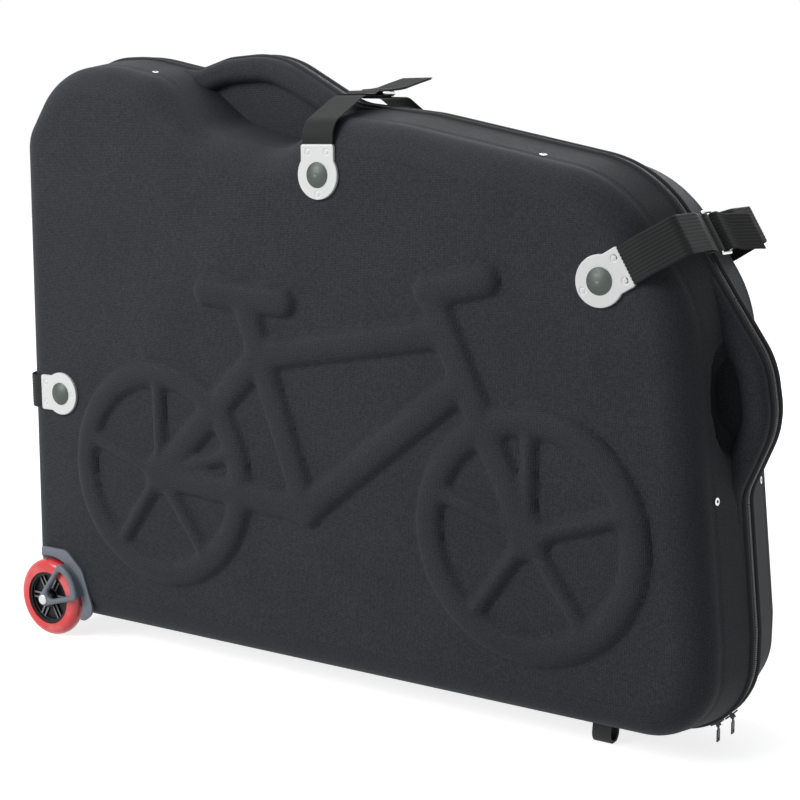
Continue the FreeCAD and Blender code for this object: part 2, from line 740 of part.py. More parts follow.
def screw_spot(name):
    """Place of a housing screw on the face, round the well."""
    turn = math.radians(size(f"{name}_deg"))
    reach = cup_radius + size("screw_land")
    return axle_x + reach * math.cos(turn), axle_z + reach * math.sin(turn)


def cover_plate():
    """Housing cover on the face, from its corners round the axle."""
    corners = [(axle_x + size(f"{name}_x") * cup_radius, axle_z + size(f"{name}_z") * cup_radius,
                size(f"{name}_radius") * cup_radius) for name, _, _, _ in COVER_CORNERS]
    return slab(corners, 0, cover_front, face_y)


def wheel_housing(lid):
    """Corner housing: cover, well round the wheel, hood and fork arm with its window, axle bosses."""
    radius = size("boss_radius")
    low, high = size("arm_low_deg"), size("arm_high_deg")
    middle = math.radians((low + high) / 2)
    apex = size("arm_rail") / math.sin(math.radians((high - low) / 2))
    axle = Vector(axle_x, 0, axle_z)
    hood = sector(well_radius, cup_radius, arm_front, face_y, low, high)
    arm = sector(0, cup_radius, arm_front, arm_back, low, high)
    window = sector(0, cup_radius, arm_front, arm_back, low, high)
    window.translate(Vector(math.cos(middle), 0, math.sin(middle)) * apex)
    window = window.common(along_y(cup_radius - size("window_edge"), 0, 0, arm_front, arm_back))
    for piece in (hood, arm, window):
        piece.translate(axle)
    cup = along_y(cup_radius, axle_x, axle_z, face_y, cup_floor_back)
    cup = cup.cut(along_y(well_radius, axle_x, axle_z, face_y, cup_floor_front)).common(lid)
    cover = cover_plate().cut(along_y(well_radius, axle_x, axle_z, cover_front, face_y))
    outer_boss = along_y(radius, axle_x, axle_z, arm_front, wheel_front - size("side_gap"))
    inner_boss = along_y(radius, axle_x, axle_z, wheel_back + size("side_gap"), cup_floor_back)
    solid = cover.multiFuse([hood, arm.cut(window), cup, outer_boss, inner_boss])
    holes = [along_y(size("axle_radius") + size("seam_gap"), axle_x, axle_z, arm_front, cup_floor_back)]
    bite = size("screw_bite") + size("seam_gap")
    for name, _ in HOUSING_SCREWS:
        holes.append(along_y(size("screw_radius") + size("seam_gap"), *screw_spot(name), face_y - bite, face_y))
    return solid.cut(holes).removeSplitter()


def make_halves():
    """Shells, bindings, zip tapes, teeth, housings and their back copies."""
    proud = size("binding_proud")
    pieces = {
        "shell": moulded_half(),
        "binding": zip_edge(0, proud - size("seam_gap"), band_y, edge_y),
        "zip_tape": zip_edge(size("tape_inset"), size("tape_thick"), edge_y, -size("teeth_half")),
        "zip_teeth": zip_teeth(),
        "wheel_housing": wheel_housing(rounded_lid(proud, face_y, size("edge_radius"))),
    }
    made = []
    for name, shape in pieces.items():
        front = formed(f"front_{name}", shape)
        made += [front, mirrored(f"back_{name}", front)]
    return made


def make_gusset():
    """Fabric strip between the two fold lines."""
    half = cell("gusset_half")
    length = cell("gusset_right") - cell("gusset_left")
    share = (half - cell("band_end")) / (cell("half_depth") - cell("band_end"))
    level = cell("heel_z") + cell("binding_proud") + cell("draft") * share
    return [block("hinge_gusset", length, half * 2, cell("gusset_thick"), cell("gusset_left"), -half, level)]


def rounded_edges(name, base, radius, test):
    """Fillet on those edges of a document object that pass a test."""
    doc.recompute()
    obj = doc.addObject("Part::Fillet", name)
    obj.Base = base
    numbers = [i + 1 for i, edge in enumerate(base.Shape.Edges) if test(edge)]
    obj.Edges = [(number, radius, radius) for number in numbers]
    return obj


def make_wheel(side, sign):
    """Tyre, hub, bearings and spacer of one wheel, on the axle at its side of the case."""
    x = cell("wheel_x")
    z = cell("wheel_radius")
    middle = cell("half_depth") * sign
    half = cell("wheel_width") * 0.5
    seat_radius = cell("wheel_radius") - cell("tyre_thick")
    ring = tube(f"{side}_tyre_ring", z, seat_radius, cell("wheel_width"), x, middle - half, z)
    tyre = rounded_edges(f"{side}_tyre", ring, size("tyre_round"), is_tread_edge)
    seat = cell("bearing_radius") + cell("run_gap")
    rim_half = cell("hub_rim_width") * 0.5
    web_half = cell("hub_web") * 0.5
    land = half - cell("bearing_width")
    outer = seat_radius - cell("seam_gap")
    inside = seat_radius - cell("hub_rim_thick")
    profile = [
        (cell("hub_land"), -land), (seat, -land), (seat, -half), (cell("hub_boss"), -half),
        (cell("hub_boss"), -web_half), (inside, -web_half), (inside, -rim_half),
        (outer, -rim_half), (outer, rim_half), (inside, rim_half), (inside, web_half),
        (cell("hub_boss"), web_half), (cell("hub_boss"), half), (seat, half), (seat, land),
        (cell("hub_land"), land),
    ]
    core = turned(f"{side}_hub_core", profile)
    bind(core, Placement__Base__x=x, Placement__Base__y=middle, Placement__Base__z=z)
    ribs = []
    root = cell("rib_root")
    reach = inside - cell("hub_boss") + root * 2
    offsets = (cell("rib_gap") * 0.5, -cell("rib_gap") * 0.5 - cell("rib_width"))
    thick = (web_half + cell("rib_height")) * 2
    for pair in range(int(size("rib_pairs"))):
        for which, offset in enumerate(offsets):
            rib = block(f"{side}_rib_{pair}_{which}", reach, thick, cell("rib_width"),
                        cell("hub_boss") - root, -thick * 0.5, offset)
            turn = Placement(Vector(), Rotation(Vector(0, 1, 0), 360 * pair / size("rib_pairs")))
            ribs.append(placed(f"{side}_rib_{pair}_{which}_set", rib, turn, x, middle, z))
    hub = fuse(f"{side}_hub", core, *ribs)
    bore = cell("axle_radius") + cell("run_gap")
    width = cell("bearing_width")
    balls = [tube(f"{side}_bearing_{i}", cell("bearing_radius"), bore, width, x, start, z)
             for i, start in enumerate((middle - half, middle + half - width))]
    bearings = group(f"{side}_bearings", balls)
    gap = cell("run_gap")
    spacer = tube(f"{side}_bearing_spacer", cell("spacer_radius"), bore, (land - gap) * 2, x, middle - land + gap, z)
    return [tyre, hub, bearings, spacer]


def placed(name, source, turn, x, y, z):
    """A document object turned about the origin and then carried to a place."""
    obj = doc.addObject("Part::Compound", name)
    obj.Links = [source]
    obj.Placement = turn
    bind(obj, Placement__Base__x=x, Placement__Base__y=y, Placement__Base__z=z)
    return obj


def is_tread_edge(edge):
    """Whether an edge is one of the tyre's outer circles."""
    return isinstance(edge.Curve, Part.Circle) and abs(edge.Curve.Radius - size("wheel_radius")) < 1e-6


def make_axles():
    """Axle bolts and nuts, and the screws that hold the housings from inside."""
    x = cell("wheel_x")
    z = cell("wheel_radius")
    arm = -cell("half_depth") - cell("wheel_width") * 0.5 - cell("arm_gap") - cell("well_wall")
    floor = -cell("half_depth") + cell("wheel_width") * 0.5 + cell("well_back") + cell("well_wall")
    head = rod("front_axle_head", cell("bolt_head_radius"), cell("bolt_head_height"), x,
               arm - cell("bolt_head_height"), z)
    dome = rounded_edges("front_axle_dome", head, size("bolt_head_height") * 0.6, is_head_edge)
    shank = rod("front_axle_shank", cell("axle_radius"), floor - arm + cell("nut_height") + cell("thread_out"),
                x, arm, z)
    axle = fuse("front_axle", dome, shank)
    hexagon = doc.addObject("Part::Prism", "front_nut_blank")
    hexagon.Polygon = 6
    hexagon.Placement = Placement(Vector(), Rotation(Vector(1, 0, 0), -90))
    bind(hexagon, Circumradius=cell("nut_radius"), Height=cell("nut_height"))
    bind(hexagon, Placement__Base__x=x, Placement__Base__y=floor, Placement__Base__z=z)
    nut = cut("front_axle_nut", hexagon, rod("front_nut_bore", cell("axle_radius") + cell("run_gap"),
                                             cell("nut_height"), x, floor, z))
    inside = -cell("half_depth") + cell("wall")
    screws = []
    depth = cell("wall") + cell("screw_bite")
    for name, _ in HOUSING_SCREWS:
        at_x, at_z = screw_spot(name)
        shaft = rod(f"front_{name}_shank", cell("screw_radius"), depth, at_x, inside - depth, at_z)
        cap = rod(f"front_{name}_head", cell("screw_head"), cell("screw_head_height"), at_x, inside, at_z)
        screws.append(fuse(f"front_{name}", shaft, cap))
    made = [axle, nut, group("front_housing_screws", screws)]
    for front in list(made):
        made.append(mirrored(front.Name.replace("front_", "back_"), front))
    return made


def is_head_edge(edge):
    """Whether an edge is the axle head's outer circle on its show side."""
    is_circle = isinstance(edge.Curve, Part.Circle)
    return is_circle and abs(edge.Curve.Center.y - (arm_front - size("bolt_head_height"))) < 1e-6


def make_feet():
    """Loop feet under the end away from the wheels: a strip bent to a U under a flange, cut flat on the floor."""
    radius = size("foot_radius")
    inner = radius - size("foot_strip")
    width = size("foot_width")
    y = -size("foot_y")
    lean = wall_lean()
    seat = floor_z + wall_inset(y)
    flange = size("foot_flange_thick")
    drop = seat / math.cos(math.radians(lean)) - radius + size("foot_flat")
    along_x = Vector(1, 0, 0)
    start = Vector(-width / 2, 0, -drop)
    loop = Part.makeCylinder(radius, width, start, along_x)
    loop = loop.fuse(box_between((-width / 2, -radius, -drop), (width / 2, radius, 0)))
    loop = loop.cut(Part.makeCylinder(inner, width, start, along_x))
    loop = loop.cut(box_between((-width / 2, -inner, -drop), (width / 2, inner, -flange)))
    half = size("foot_flange") / 2
    loop = loop.fuse(box_between((-width / 2, -half, -flange), (width / 2, half, 0)))
    loop.Placement = Placement(Vector(size("foot_x"), y, seat), Rotation(along_x, -lean))
    ground = box_between((-wide, -wide, -wide), (wide, wide, 0))
    front = formed("front_foot", loop.cut(ground).removeSplitter())
    return [front, mirrored("back_foot", front)]


def ribbon(path, thick):
    """Flat strap in local X and Y: arcs and runs along a path of (x, y, radius), carried across its width."""
    corners = [(x, y, radius) for x, y, radius in path]
    left = Part.Wire(rounded_path(corners, -thick / 2, False))
    right = Part.Wire(rounded_path(corners, thick / 2, False))
    ends = [wire.OrderedVertexes for wire in (left, right)]
    caps = [Part.LineSegment(ends[0][k].Point, ends[1][k].Point).toShape() for k in (0, -1)]
    wire = Part.Wire(Part.__sortEdges__(left.Edges + right.Edges + caps))
    half = size("strap_width") / 2
    solid = Part.Face(wire).extrude(Vector(0, 2 * half, 0))
    solid.translate(Vector(0, -half, 0))
    solid.rotate(Vector(), Vector(1, 0, 0), 90)
    return solid


def strap_placement(name, back):
    """Placement of a strap's pieces: local X runs from the rivet to the rim, local Y is the case's own depth."""
    spot = Vector(size(f"{name}_rivet_x"), 0, size(f"{name}_rivet_z"))
    turn = Rotation(Vector(0, 1, 0), -size(f"{name}_strap_deg"))
    if back:
        turn = turn * Rotation(Vector(1, 0, 0), 180)
    return Placement(spot, turn)


def strap_paths():
    """Routes of the front and the back webbing in the strap's own frame."""
    thick = size("strap_thick")
    bar_x = size("strap_rim") + size("ring_stand")
    bar_y = -size("ring_half")
    level = face_y - size("plate_gap") - size("plate_skin") - size("seam_gap") - thick / 2
    start = (size("plate_reach") - size("plate_grip"), -level, 0)
    shoulder_x = size("strap_rim") - size("binding_proud") - size("draft") - size("edge_radius") / 6
    shoulder = (shoulder_x, -level, size("strap_bend"))
    play = size("plate_gap") + thick / 2
    loop = size("ring_wire") + play
    knee_y = -bar_y + size("ring_half") + size("strap_bend")
    sewn = bar_x - loop + thick + size("seam_gap")
    front = [
        start, shoulder, (bar_x - loop, knee_y, size("strap_bend")), (bar_x - loop, -bar_y - loop, loop),
        (bar_x + loop, -bar_y - loop, loop), (bar_x + loop, -bar_y + size("neck_start"), loop),
        (sewn, -bar_y + size("neck_end"), loop), (sewn, -bar_y + size("neck_end") + size("strap_sewn"), 0),
    ]
    bend = size("roller_radius") + play
    back = [
        start, shoulder, (bar_x - bend, knee_y, size("strap_bend")), (bar_x - bend, -bar_y - bend, bend),
        (bar_x + bend, -bar_y - bend, bend), (bar_x + bend, -bar_y + size("strap_tail"), 0),
    ]
    return front, back


def make_plate(name, back):
    """Strap plate: round end on its rivet, straight end that clamps the webbing."""
    thick = cell("strap_thick") + (cell("plate_skin") + cell("seam_gap")) * 2
    under = -cell("half_depth") - cell("plate_gap")
    label = f"{name}_{'back' if back else 'front'}_plate"
    disc = rod(f"{label}_disc", cell("plate_radius"), thick, 0, under - thick, 0)
    tongue = block(f"{label}_tongue", cell("plate_reach"), thick, cell("plate_width"), 0, under - thick,
                   cell("plate_width") * -0.5)
    hole = rod(f"{label}_hole", cell("rivet_radius") + cell("run_gap"), thick, 0, under - thick, 0)
    slot_width = cell("strap_width") + cell("seam_gap") * 2
    slot = block(f"{label}_slot", cell("plate_grip") + cell("seam_gap") * 2, cell("strap_thick") + cell("seam_gap") * 2, slot_width,
                 cell("plate_reach") - cell("plate_grip") - cell("seam_gap"), under - thick + cell("plate_skin"),
                 slot_width * -0.5)
    plate = cut(label, fuse(f"{label}_blank", disc, tongue), hole, slot)
    plate.Placement = strap_placement(name, back)
    return plate


def make_ring(name):
    """Wire ring of the buckle: two bars across the strap and two sides."""
    wire = size("ring_wire")
    half = size("ring_half")
    side = size("strap_width") / 2 + size("ring_side") + wire
    x = size("strap_rim") + size("ring_stand")
    pieces = []
    for y in (-half, half):
        pieces.append(Part.makeCylinder(wire, 2 * side, Vector(x, y, -side), Vector(0, 0, 1)))
    for z in (-side, side):
        pieces.append(Part.makeCylinder(wire, 2 * half, Vector(x, -half, z), Vector(0, 1, 0)))
        for y in (-half, half):
            pieces.append(Part.makeSphere(wire, Vector(x, y, z)))
    return formed(f"{name}_buckle_ring", pieces[0].multiFuse(pieces[1:]).removeSplitter(), strap_placement(name, False))


def make_roller(name):
    """Plastic tube that turns on the ring's back bar."""
    length = cell("strap_width") + cell("ring_side")
    x = cell("strap_rim") + cell("ring_stand")
    y = cell("ring_half")
    parts = []
    for part, radius in (("outer", cell("roller_radius")), ("bore", cell("ring_wire") + cell("run_gap"))):
        obj = doc.addObject("Part::Cylinder", f"{name}_roller_{part}")
        bind(obj, Radius=radius, Height=length)
        bind(obj, Placement__Base__x=x, Placement__Base__y=y, Placement__Base__z=length * -0.5)
        parts.append(obj)
    roller = cut(f"{name}_buckle_roller", *parts)
    roller.Placement = strap_placement(name, False)
    return roller


def make_straps():
    """Plates, webbing, buckle rings and rollers of the three straps."""
    thick = size("strap_thick")
    front_path, back_path = strap_paths()
    made = []
    for name, _, _, _ in STRAPS:
        made.append(make_plate(name, False))
        made.append(make_plate(name, True))
        made.append(formed(f"{name}_front_webbing", ribbon(front_path, thick), strap_placement(name, False)))
        made.append(formed(f"{name}_back_webbing", ribbon(back_path, thick), strap_placement(name, True)))
        made.append(make_ring(name))
        made.append(make_roller(name))
    return made


def rivet(x, z, plate_top, tail):
    """Strap rivet turned about +Y: a domed cap in front of its plate, a shank and a set tail inside the case."""
    cap = size("rivet_cap")
    shank = size("rivet_radius")
    tail_radius = size("rivet_tail")
    crown = plate_top - size("rivet_dome")
    ball = (cap * cap + size("rivet_dome") ** 2) / (2 * size("rivet_dome"))
    half = 0.5 * math.asin(cap / ball)
    end = tail + size("rivet_tail_height")
    middle = Vector(ball * math.sin(half), crown + ball * (1 - math.cos(half)), 0)
    path = [(cap, plate_top), (shank, plate_top), (shank, tail), (tail_radius, tail), (tail_radius, end), (0, end),
            (0, crown)]
    points = [Vector(radius, y, 0) for radius, y in path]
    edges = [Part.Arc(points[-1], middle, points[0]).toShape()]
    edges += [Part.LineSegment(a, b).toShape() for a, b in zip(points, points[1:])]
    turned_solid = Part.Face(Part.Wire(edges)).revolve(Vector(), Vector(0, 1, 0), 360)
    turned_solid.translate(Vector(x, 0, z))
    return turned_solid


def make_rivets():
    """Domed strap rivets through the shell, and the washers under their tails."""
    plate_thick = size("strap_thick") + 2 * (size("plate_skin") + size("seam_gap"))
    plate_top = face_y - 2 * size("plate_gap") - plate_thick
    tail = inner_y + size("washer_thick") + size("seam_gap")
    inside = -cell("half_depth") + cell("wall")
    rivets = []
    washers = []
    for name, _, _, _ in STRAPS:
        spot = size(f"{name}_rivet_x"), size(f"{name}_rivet_z")
        rivets.append(formed(f"front_{name}_rivet", rivet(*spot, plate_top, tail)))
        washers.append(tube(f"front_{name}_washer", cell("washer_radius"), cell("rivet_radius") + cell("seam_gap"),
                            cell("washer_thick"), cell(f"{name}_rivet_x"), inside, cell(f"{name}_rivet_z")))
    made = [group("front_strap_rivets", rivets), group("front_rivet_washers", washers)]
    for front in list(made):
        made.append(mirrored(front.Name.replace("front_", "back_"), front))
    return made


def make_eyelets():
    """Breather eyelets through the side walls."""
    eyelets = []
    for name, corner, _ in EYELETS:
        bore = cell("eyelet_bore")
        barrel = cell("eyelet_barrel")
        flange = cell("eyelet_flange")
        thick = cell("eyelet_flange_thick")
        profile = [(bore, -cell("wall")), (barrel, -cell("wall")), (barrel, 0), (flange, 0), (flange, thick * 0.5),
                   (barrel, thick), (bore, thick)]
        eyelet = turned(f"front_{name}", profile)
        eyelet.Placement = eyelet_placement(name, corner, size("seam_gap"))
        eyelets.append(eyelet)
    front = group("front_eyelets", eyelets)
    return [front, mirrored("back_eyelets", front)]


def make_sliders():
    """Zip sliders on the toe's arc, and the pulls that hang from their pins."""
    arc = toe_arc()
    sweep = size("slider_sweep_deg")
    half = size("slider_width") / 2
    wing = size("slider_wing")
    teeth_top = arc.Radius - size("teeth_inset")
    teeth_low = teeth_top - size("teeth_thick")
    outer = teeth_top + size("slider_rise")
    inner = teeth_low - size("teeth_gap")
    post = size("slider_post") / 2
    pin_at = outer + wing + size("lug_height") - size("pull_eye")
    lug = size("lug_width") / 2
    ear = size("lug_ear")
    pieces = [
        sector(outer, outer + wing, -half, half, -sweep, sweep),
        sector(inner - wing, inner, -half, half, -sweep, sweep),
        sector(inner - wing / 2, outer + wing / 2, -post, post, -sweep / 4, sweep / 4),
        along_y(size("pin_radius"), pin_at, 0, -lug, lug),
    ]
    eye = size("pull_eye")
    for y in (-lug, lug - ear):
        pieces.append(box_between((outer + wing / 2, y, -eye), (pin_at + eye, y + ear, eye)))
    slider = pieces[0].multiFuse(pieces[1:]).removeSplitter()
    made = []
    for name in ("upper", "lower"):
        angle = size(f"slider_{name}_deg")
        turn = Rotation(Vector(0, 1, 0), -angle)
        made.append(formed(f"{name}_zip_slider", slider.copy(), Placement(arc.Center, turn)))
        pivot = arc.Center + turn.multVec(Vector(pin_at, 0, 0))
        made.append(formed(f"{name}_zip_pull", zip_pull(), Placement(pivot, Rotation())))
    return made


def zip_pull():
    """Pull tab that hangs from its eye, with a hole at its lower end."""
    inside = size("lug_width") / 2 - 2 * size("lug_ear")
    eye = size("pull_eye")
    thick = size("pull_thick") / 2
    half = size("pull_width") / 2
    length = size("pull_length")
    neck = 3 * eye
    tab = along_y(eye, 0, 0, -inside, inside)
    tab = tab.fuse(box_between((-thick, -inside, -neck), (thick, inside, 0)))
    tab = tab.fuse(box_between((-thick, -half, -length), (thick, half, -neck)))
    hole = Part.makeCylinder(size("pull_hole"), 4 * thick, Vector(-2 * thick, 0, -length + half), Vector(1, 0, 0))
    pin = along_y(size("pin_radius") + size("run_gap"), 0, 0, -half, half)
    return tab.cut([hole, pin]).removeSplitter()


subparts = make_halves() + make_gusset()
for wheel_side, wheel_sign in (("front", -1), ("back", 1)):
    wheel = make_wheel(wheel_side, wheel_sign)
    subparts += wheel
subparts += make_axles() + make_feet() + make_straps() + make_rivets() + make_eyelets() + make_sliders()
doc.recompute()

for obj in doc.Objects:
    if "Invalid" in obj.State or "Error" in obj.State:
        raise RuntimeError(f"{obj.Label} failed: {obj.State}")
for part in subparts:
    if part.Shape.isNull() or not part.Shape.isValid() or not part.Shape.Solids:
        raise RuntimeError(f"{part.Label} has no valid solid")
os.makedirs("parts", exist_ok=True)
for part in subparts:
    part.Shape.exportStep(f"parts/{part.Label}.step")
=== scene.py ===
"""Looks of a bike travel case: moulded halves under woven nylon, zip, straps, wheels and a plain studio."""
import math

import bmesh
import bpy
import numpy as np
from bpy.props import FloatProperty, IntProperty, PointerProperty, StringProperty
from mathutils import Matrix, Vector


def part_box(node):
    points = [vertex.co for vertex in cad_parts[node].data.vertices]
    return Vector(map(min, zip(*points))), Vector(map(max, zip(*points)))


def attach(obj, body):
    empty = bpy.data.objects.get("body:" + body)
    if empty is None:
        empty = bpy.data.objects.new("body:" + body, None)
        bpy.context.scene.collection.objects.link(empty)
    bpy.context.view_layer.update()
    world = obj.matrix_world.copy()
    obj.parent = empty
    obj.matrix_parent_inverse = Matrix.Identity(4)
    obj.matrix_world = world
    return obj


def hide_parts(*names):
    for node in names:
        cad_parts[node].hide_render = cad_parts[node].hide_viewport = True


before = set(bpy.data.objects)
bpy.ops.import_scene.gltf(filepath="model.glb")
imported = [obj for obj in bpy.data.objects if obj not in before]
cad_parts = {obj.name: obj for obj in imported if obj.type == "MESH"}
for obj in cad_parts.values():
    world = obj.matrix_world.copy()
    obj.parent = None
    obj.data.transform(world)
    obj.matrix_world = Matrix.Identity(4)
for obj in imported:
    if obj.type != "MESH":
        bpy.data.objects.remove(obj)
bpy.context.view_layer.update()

bl_info = {
    "name": "Bike Travel Case",
    "version": (1, 0, 0),
    "blender": (4, 5, 0),
    "location": "3D View > Sidebar > Bike Case",
    "description": "Dresses the bike travel case: fabric shells, zip, straps, wheels and studio",
    "category": "Object",
}

MM = 0.001
HALVES = ("front", "back")

# Corners of the closed rim seen from the front, clockwise from the bottom left: x, z, rounding in mm.
RIM = np.array([
    (-580.5, 18, 75), (-566.5, 773, 77), (-490, 880, 132), (-378, 880, 260), (-284, 860, 50), (-230, 875, 90),
    (-140, 880, 160), (-10, 809, 82), (118, 794, 300), (410, 734, 180), (464, 685, 144), (540, 569, 70),
    (589, 496, 120), (601, 421, 110), (563.04, 331.112, 50), (580, 156, 120), (578, 18, 104),
], float)
# The body's outline leaves the rim at the grips: it dips under the top one and runs straight behind the
# side one.
BODY = np.concatenate([
    RIM[:4], [(-289.64, 861.2, 80), (-195, 788, 80), (-78, 758, 70), (2.8, 807.5, 80)], RIM[8:11],
    [(540, 569, 190)], RIM[15:],
])
# Grips, top and side: the arch's end marks on the rim, then the web's marks on the rim and on the body and
# how far it reaches inside the body's outline in mm.
GRIPS = (
    ((3.95, 7.65), (4.52, 7.02), (4.55, 6.95), 12.0),
    ((10.85, 14.56), (11.82, 13.74), (11.5, 11.69), 26.0),
)
# Section of a grip arch in mm: insets of its sides, depths of its back and front, rounding of its corners.
ARCH_NEAR, ARCH_FAR, ARCH_BACK, ARCH_FRONT, ARCH_ROUND = 2.6, 36.4, 7.5, 34.0, 13.0
# Web behind a grip arch in mm: inset of its edge under the arch, depths of its front and back.
WEB_INSET, WEB_FRONT, WEB_BACK = 30.0, 16.2, 7.2
# Finger hollow behind the side grip in mm: height and depth of its middle, half its height, and how far it
# sinks in; its brim is a share of the oval.
HOLLOW_Z, HOLLOW_DEPTH, HOLLOW_TALL, HOLLOW_SINK, HOLLOW_BRIM = 452, 34, 74, 26, 0.42

# Binding's thickness, depth of the shell's edge, depth of the rim band, and lean of the side walls, in mm.
PROUD, EDGE, BAND, DRAFT = 2.5, 7.0, 16.0, 18.0
# Depths of the rows on a side wall, in mm.
WALL_ROWS = np.array([16, 17.5, 20, 23, 27, 32, 38, 43, 47, 50, 53, 57, 64, 70])
# A depth outside every piece, where cutters start, in mm.
OUTSIDE = 160.0
# Steps between rows along a grip arch and along the zip, in mm.
ARCH_STEP, ZIP_STEP = 5.0, 7.0

# Ends of the hinge gusset on the rim's bottom run, half its width, and height of the shells' slot, in mm.
GUSSET_X, GUSSET_HALF, GUSSET_SLOT = (-490.0, 455.0), 28, 32
# Cloth of the gusset in mm: lift over the CAD sheet's underside, bow, waves and their run per radian, and
# thickness.
CLOTH_LIFT, CLOTH_BOW, CLOTH_WAVE, CLOTH_RUN, CLOTH_THICK = 0.3, 0.66, 0.15, 31, 1.3
# Hem of the gusset: its rise in mm, and its place and width as shares of half the gusset's width.
HEM_RISE, HEM_PLACE, HEM_WIDTH = 0.35, 0.86, 0.05

# Zipped stretch as marks along the rim, and the height in mm where the teeth end, above the fold lines.
ZIPPED, TEETH_LOW = (-0.0072, 16.5105), 25.5
# Middle and half sizes of the piping's bead, and the zip tape's section, as (inset, depth) in mm.
BEAD_MIDDLE, BEAD_HALF = (2.4, 11.5), (3.9, 4.4)
TAPE_SECTION = np.array([
    (1.7, 3.3), (1.55, 4.2), (1.7, 5.0), (1.55, 5.9), (1.7, 6.9), (2.9, 6.9), (2.9, 3.3),
])
# Inset of the teeth, and a tooth's corners in mm: along the rim, inward, depth.
TEETH_INSET = 0.7
TOOTH = np.array([
    (-0.75, 0.3, 0.25), (0.75, 0.3, 0.25), (0.75, 2.8, 0.25), (-0.75, 2.8, 0.25),
    (-0.5, 0.0, 3.1), (0.5, 0.0, 3.1), (0.5, 3.0, 3.1), (-0.5, 3.0, 3.1),
])
TOOTH_FACES = np.array([(0, 1, 2, 3), (7, 6, 5, 4), (0, 4, 5, 1), (1, 5, 6, 2), (2, 6, 7, 3), (3, 7, 4, 0)])

# Bicycle relief on the face, in mm: axles of its wheels, and its tubes from joint to joint.
RELIEF_AXLES = ((-283, 283), (326, 272))
RELIEF_TUBES = np.array([
    (-283, 283, -20, 262), (-283, 283, -95, 470), (-20, 262, -122, 545), (-190, 553, -55, 545),
    (-95, 470, 198, 520), (-20, 262, 222, 452), (326, 272, 180, 572), (180, 572, 262, 590),
], float)
RELIEF_WHEEL, RELIEF_BAND, RELIEF_HUB, RELIEF_SPOKES = 165, 36, 28, 5
RELIEF_TUBE, RELIEF_SPOKE = 38, 20
# How far the relief's slope starts outside its outline and how wide it is, in mm, and how sharply bars blend.
RELIEF_FOOT, RELIEF_SLOPE, RELIEF_BLEND = 2, 18, 0.3
# Grid of the relief on the face: its left and bottom in mm, its top as heights at shares of its width, its
# right edge as places at heights, and its columns and rows.
GRID_LEFT, GRID_LOW = -470, 90
GRID_TOP = ((0.91, 1), (620, 490))
GRID_RIGHT = ((90, 272, 490), (500, 503, 474))
GRID_COLUMNS, GRID_ROWS = 240, 132

# Straps: name, rivet's x and z, direction in degrees above +X, and how far the tail veers sideways, in mm.
STRAPS = (
    ("top", 8.0, 715.7, 90.0, 30.0),
    ("right", 420.5, 596.5, 30.0, 14.0),
    ("left", -479.7, 383.0, 180.0, -6.0),
)
# Routes of the webbing from its plate to the buckle, in the strap's frame: outward, depth, rounding in mm.
FRONT_ROUTE = np.array([
    (28, 127.4, 0), (66, 127.4, 30), (102.7, 54, 30), (102.7, 8.7, 3.3), (109.3, 8.7, 3.3), (109.3, 19, 3.3),
    (104.8, 29, 3.3), (104.8, 49, 0),
], float)
BACK_ROUTE = np.array([
    (28, 127.4, 0), (66, 127.4, 30), (100.7, 54, 30), (100.7, 6.7, 5.3), (111.3, 6.7, 5.3), (112.3, 24, 40),
    (127, 66, 0),
], float)
# The right strap is loose: it stands off the edge and turns sharply towards its buckle.
LOOSE_FRONT = np.concatenate([[(28, 127.4, 0), (62, 131, 40), (116, 121, 9), (116, 58, 16)], FRONT_ROUTE[3:]])
LOOSE_BACK = np.concatenate([[(28, 127.4, 0), (62, 131, 40), (114, 121, 9), (114, 58, 16)], BACK_ROUTE[3:]])
# How many marks before a back route's last one the webbing leaves the roller, and its pad starts.
TAIL_MARKS, PAD_MARKS = 1.4, 1.3
# Step along a strap, half the webbing between its ribs and the ribs' rise, in mm.
STRAP_STEP, WEBBING_CORE, WEBBING_RIB = 2.5, 0.62, 0.36
# Pad on a strap's tail in mm: margin to the webbing's edge, height of its middle, half its thickness.
PAD_MARGIN, PAD_LIFT, PAD_HALF = 2, 1.75, 0.65
# Strap plate in its strap's frame in mm: radius of its round end, place of its straight end, half width of
# its tongue, rounding of the corners there, and depths of its top and underside.
PLATE_ROUND, PLATE_END, PLATE_TONGUE, PLATE_CORNER, PLATE_TOP, PLATE_UNDER = 32, 40, 26.5, 4, 129.4, 125.5
# Width and height of the plate's rolled edge; place, width and height of the bead at its straight end, in mm.
ROLL_WIDTH, ROLL_HEIGHT, PLATE_BEAD = 1.6, 1.3, (37, 1.4, 0.35)
# Pressed rings of a plate in mm: places outward and across, radius, width and depth.
RINGS, RING_RADIUS, RING_WIDTH, RING_DEPTH = ((30, 15), (30, -15), (-25, 0)), 3.8, 0.8, 0.9

# Axle's x and z, depth of the wheels' middle, and radius and floor's depth of the shell's wheel well, in mm.
AXLE, WHEEL_DEPTH, WELL_RADIUS, WELL_FLOOR = (-518.5, 60.0), 125.0, 70.3, 103.7
# Middle and half height of the hub's pale crests, counted from the wheel's middle, in mm.
CREST_MIDDLE, CREST_HALF = 5.3, 0.7
# Fork arm in its axle's frame: corners of its outline and of its window, clockwise: x, z, rounding in mm.
ARM = np.array([(-29.25, -20.13, 11), (34, 62.6, 8), (66.3, 44.7, 60), (70.3, 9.3, 8)], float)
ARM_WINDOW = np.array([(-6.65, -4.58, 8.5), (34.5, 49.3, 6), (52, 40, 25), (57.5, 14.4, 6)], float)
# Depths of the arm's back, of the start of its rounding and of its front, and that rounding's width, in mm.
ARM_BACK, ARM_SIDE, ARM_FRONT, ARM_ROUND = 140.4, 142.0, 146.5, 3.6
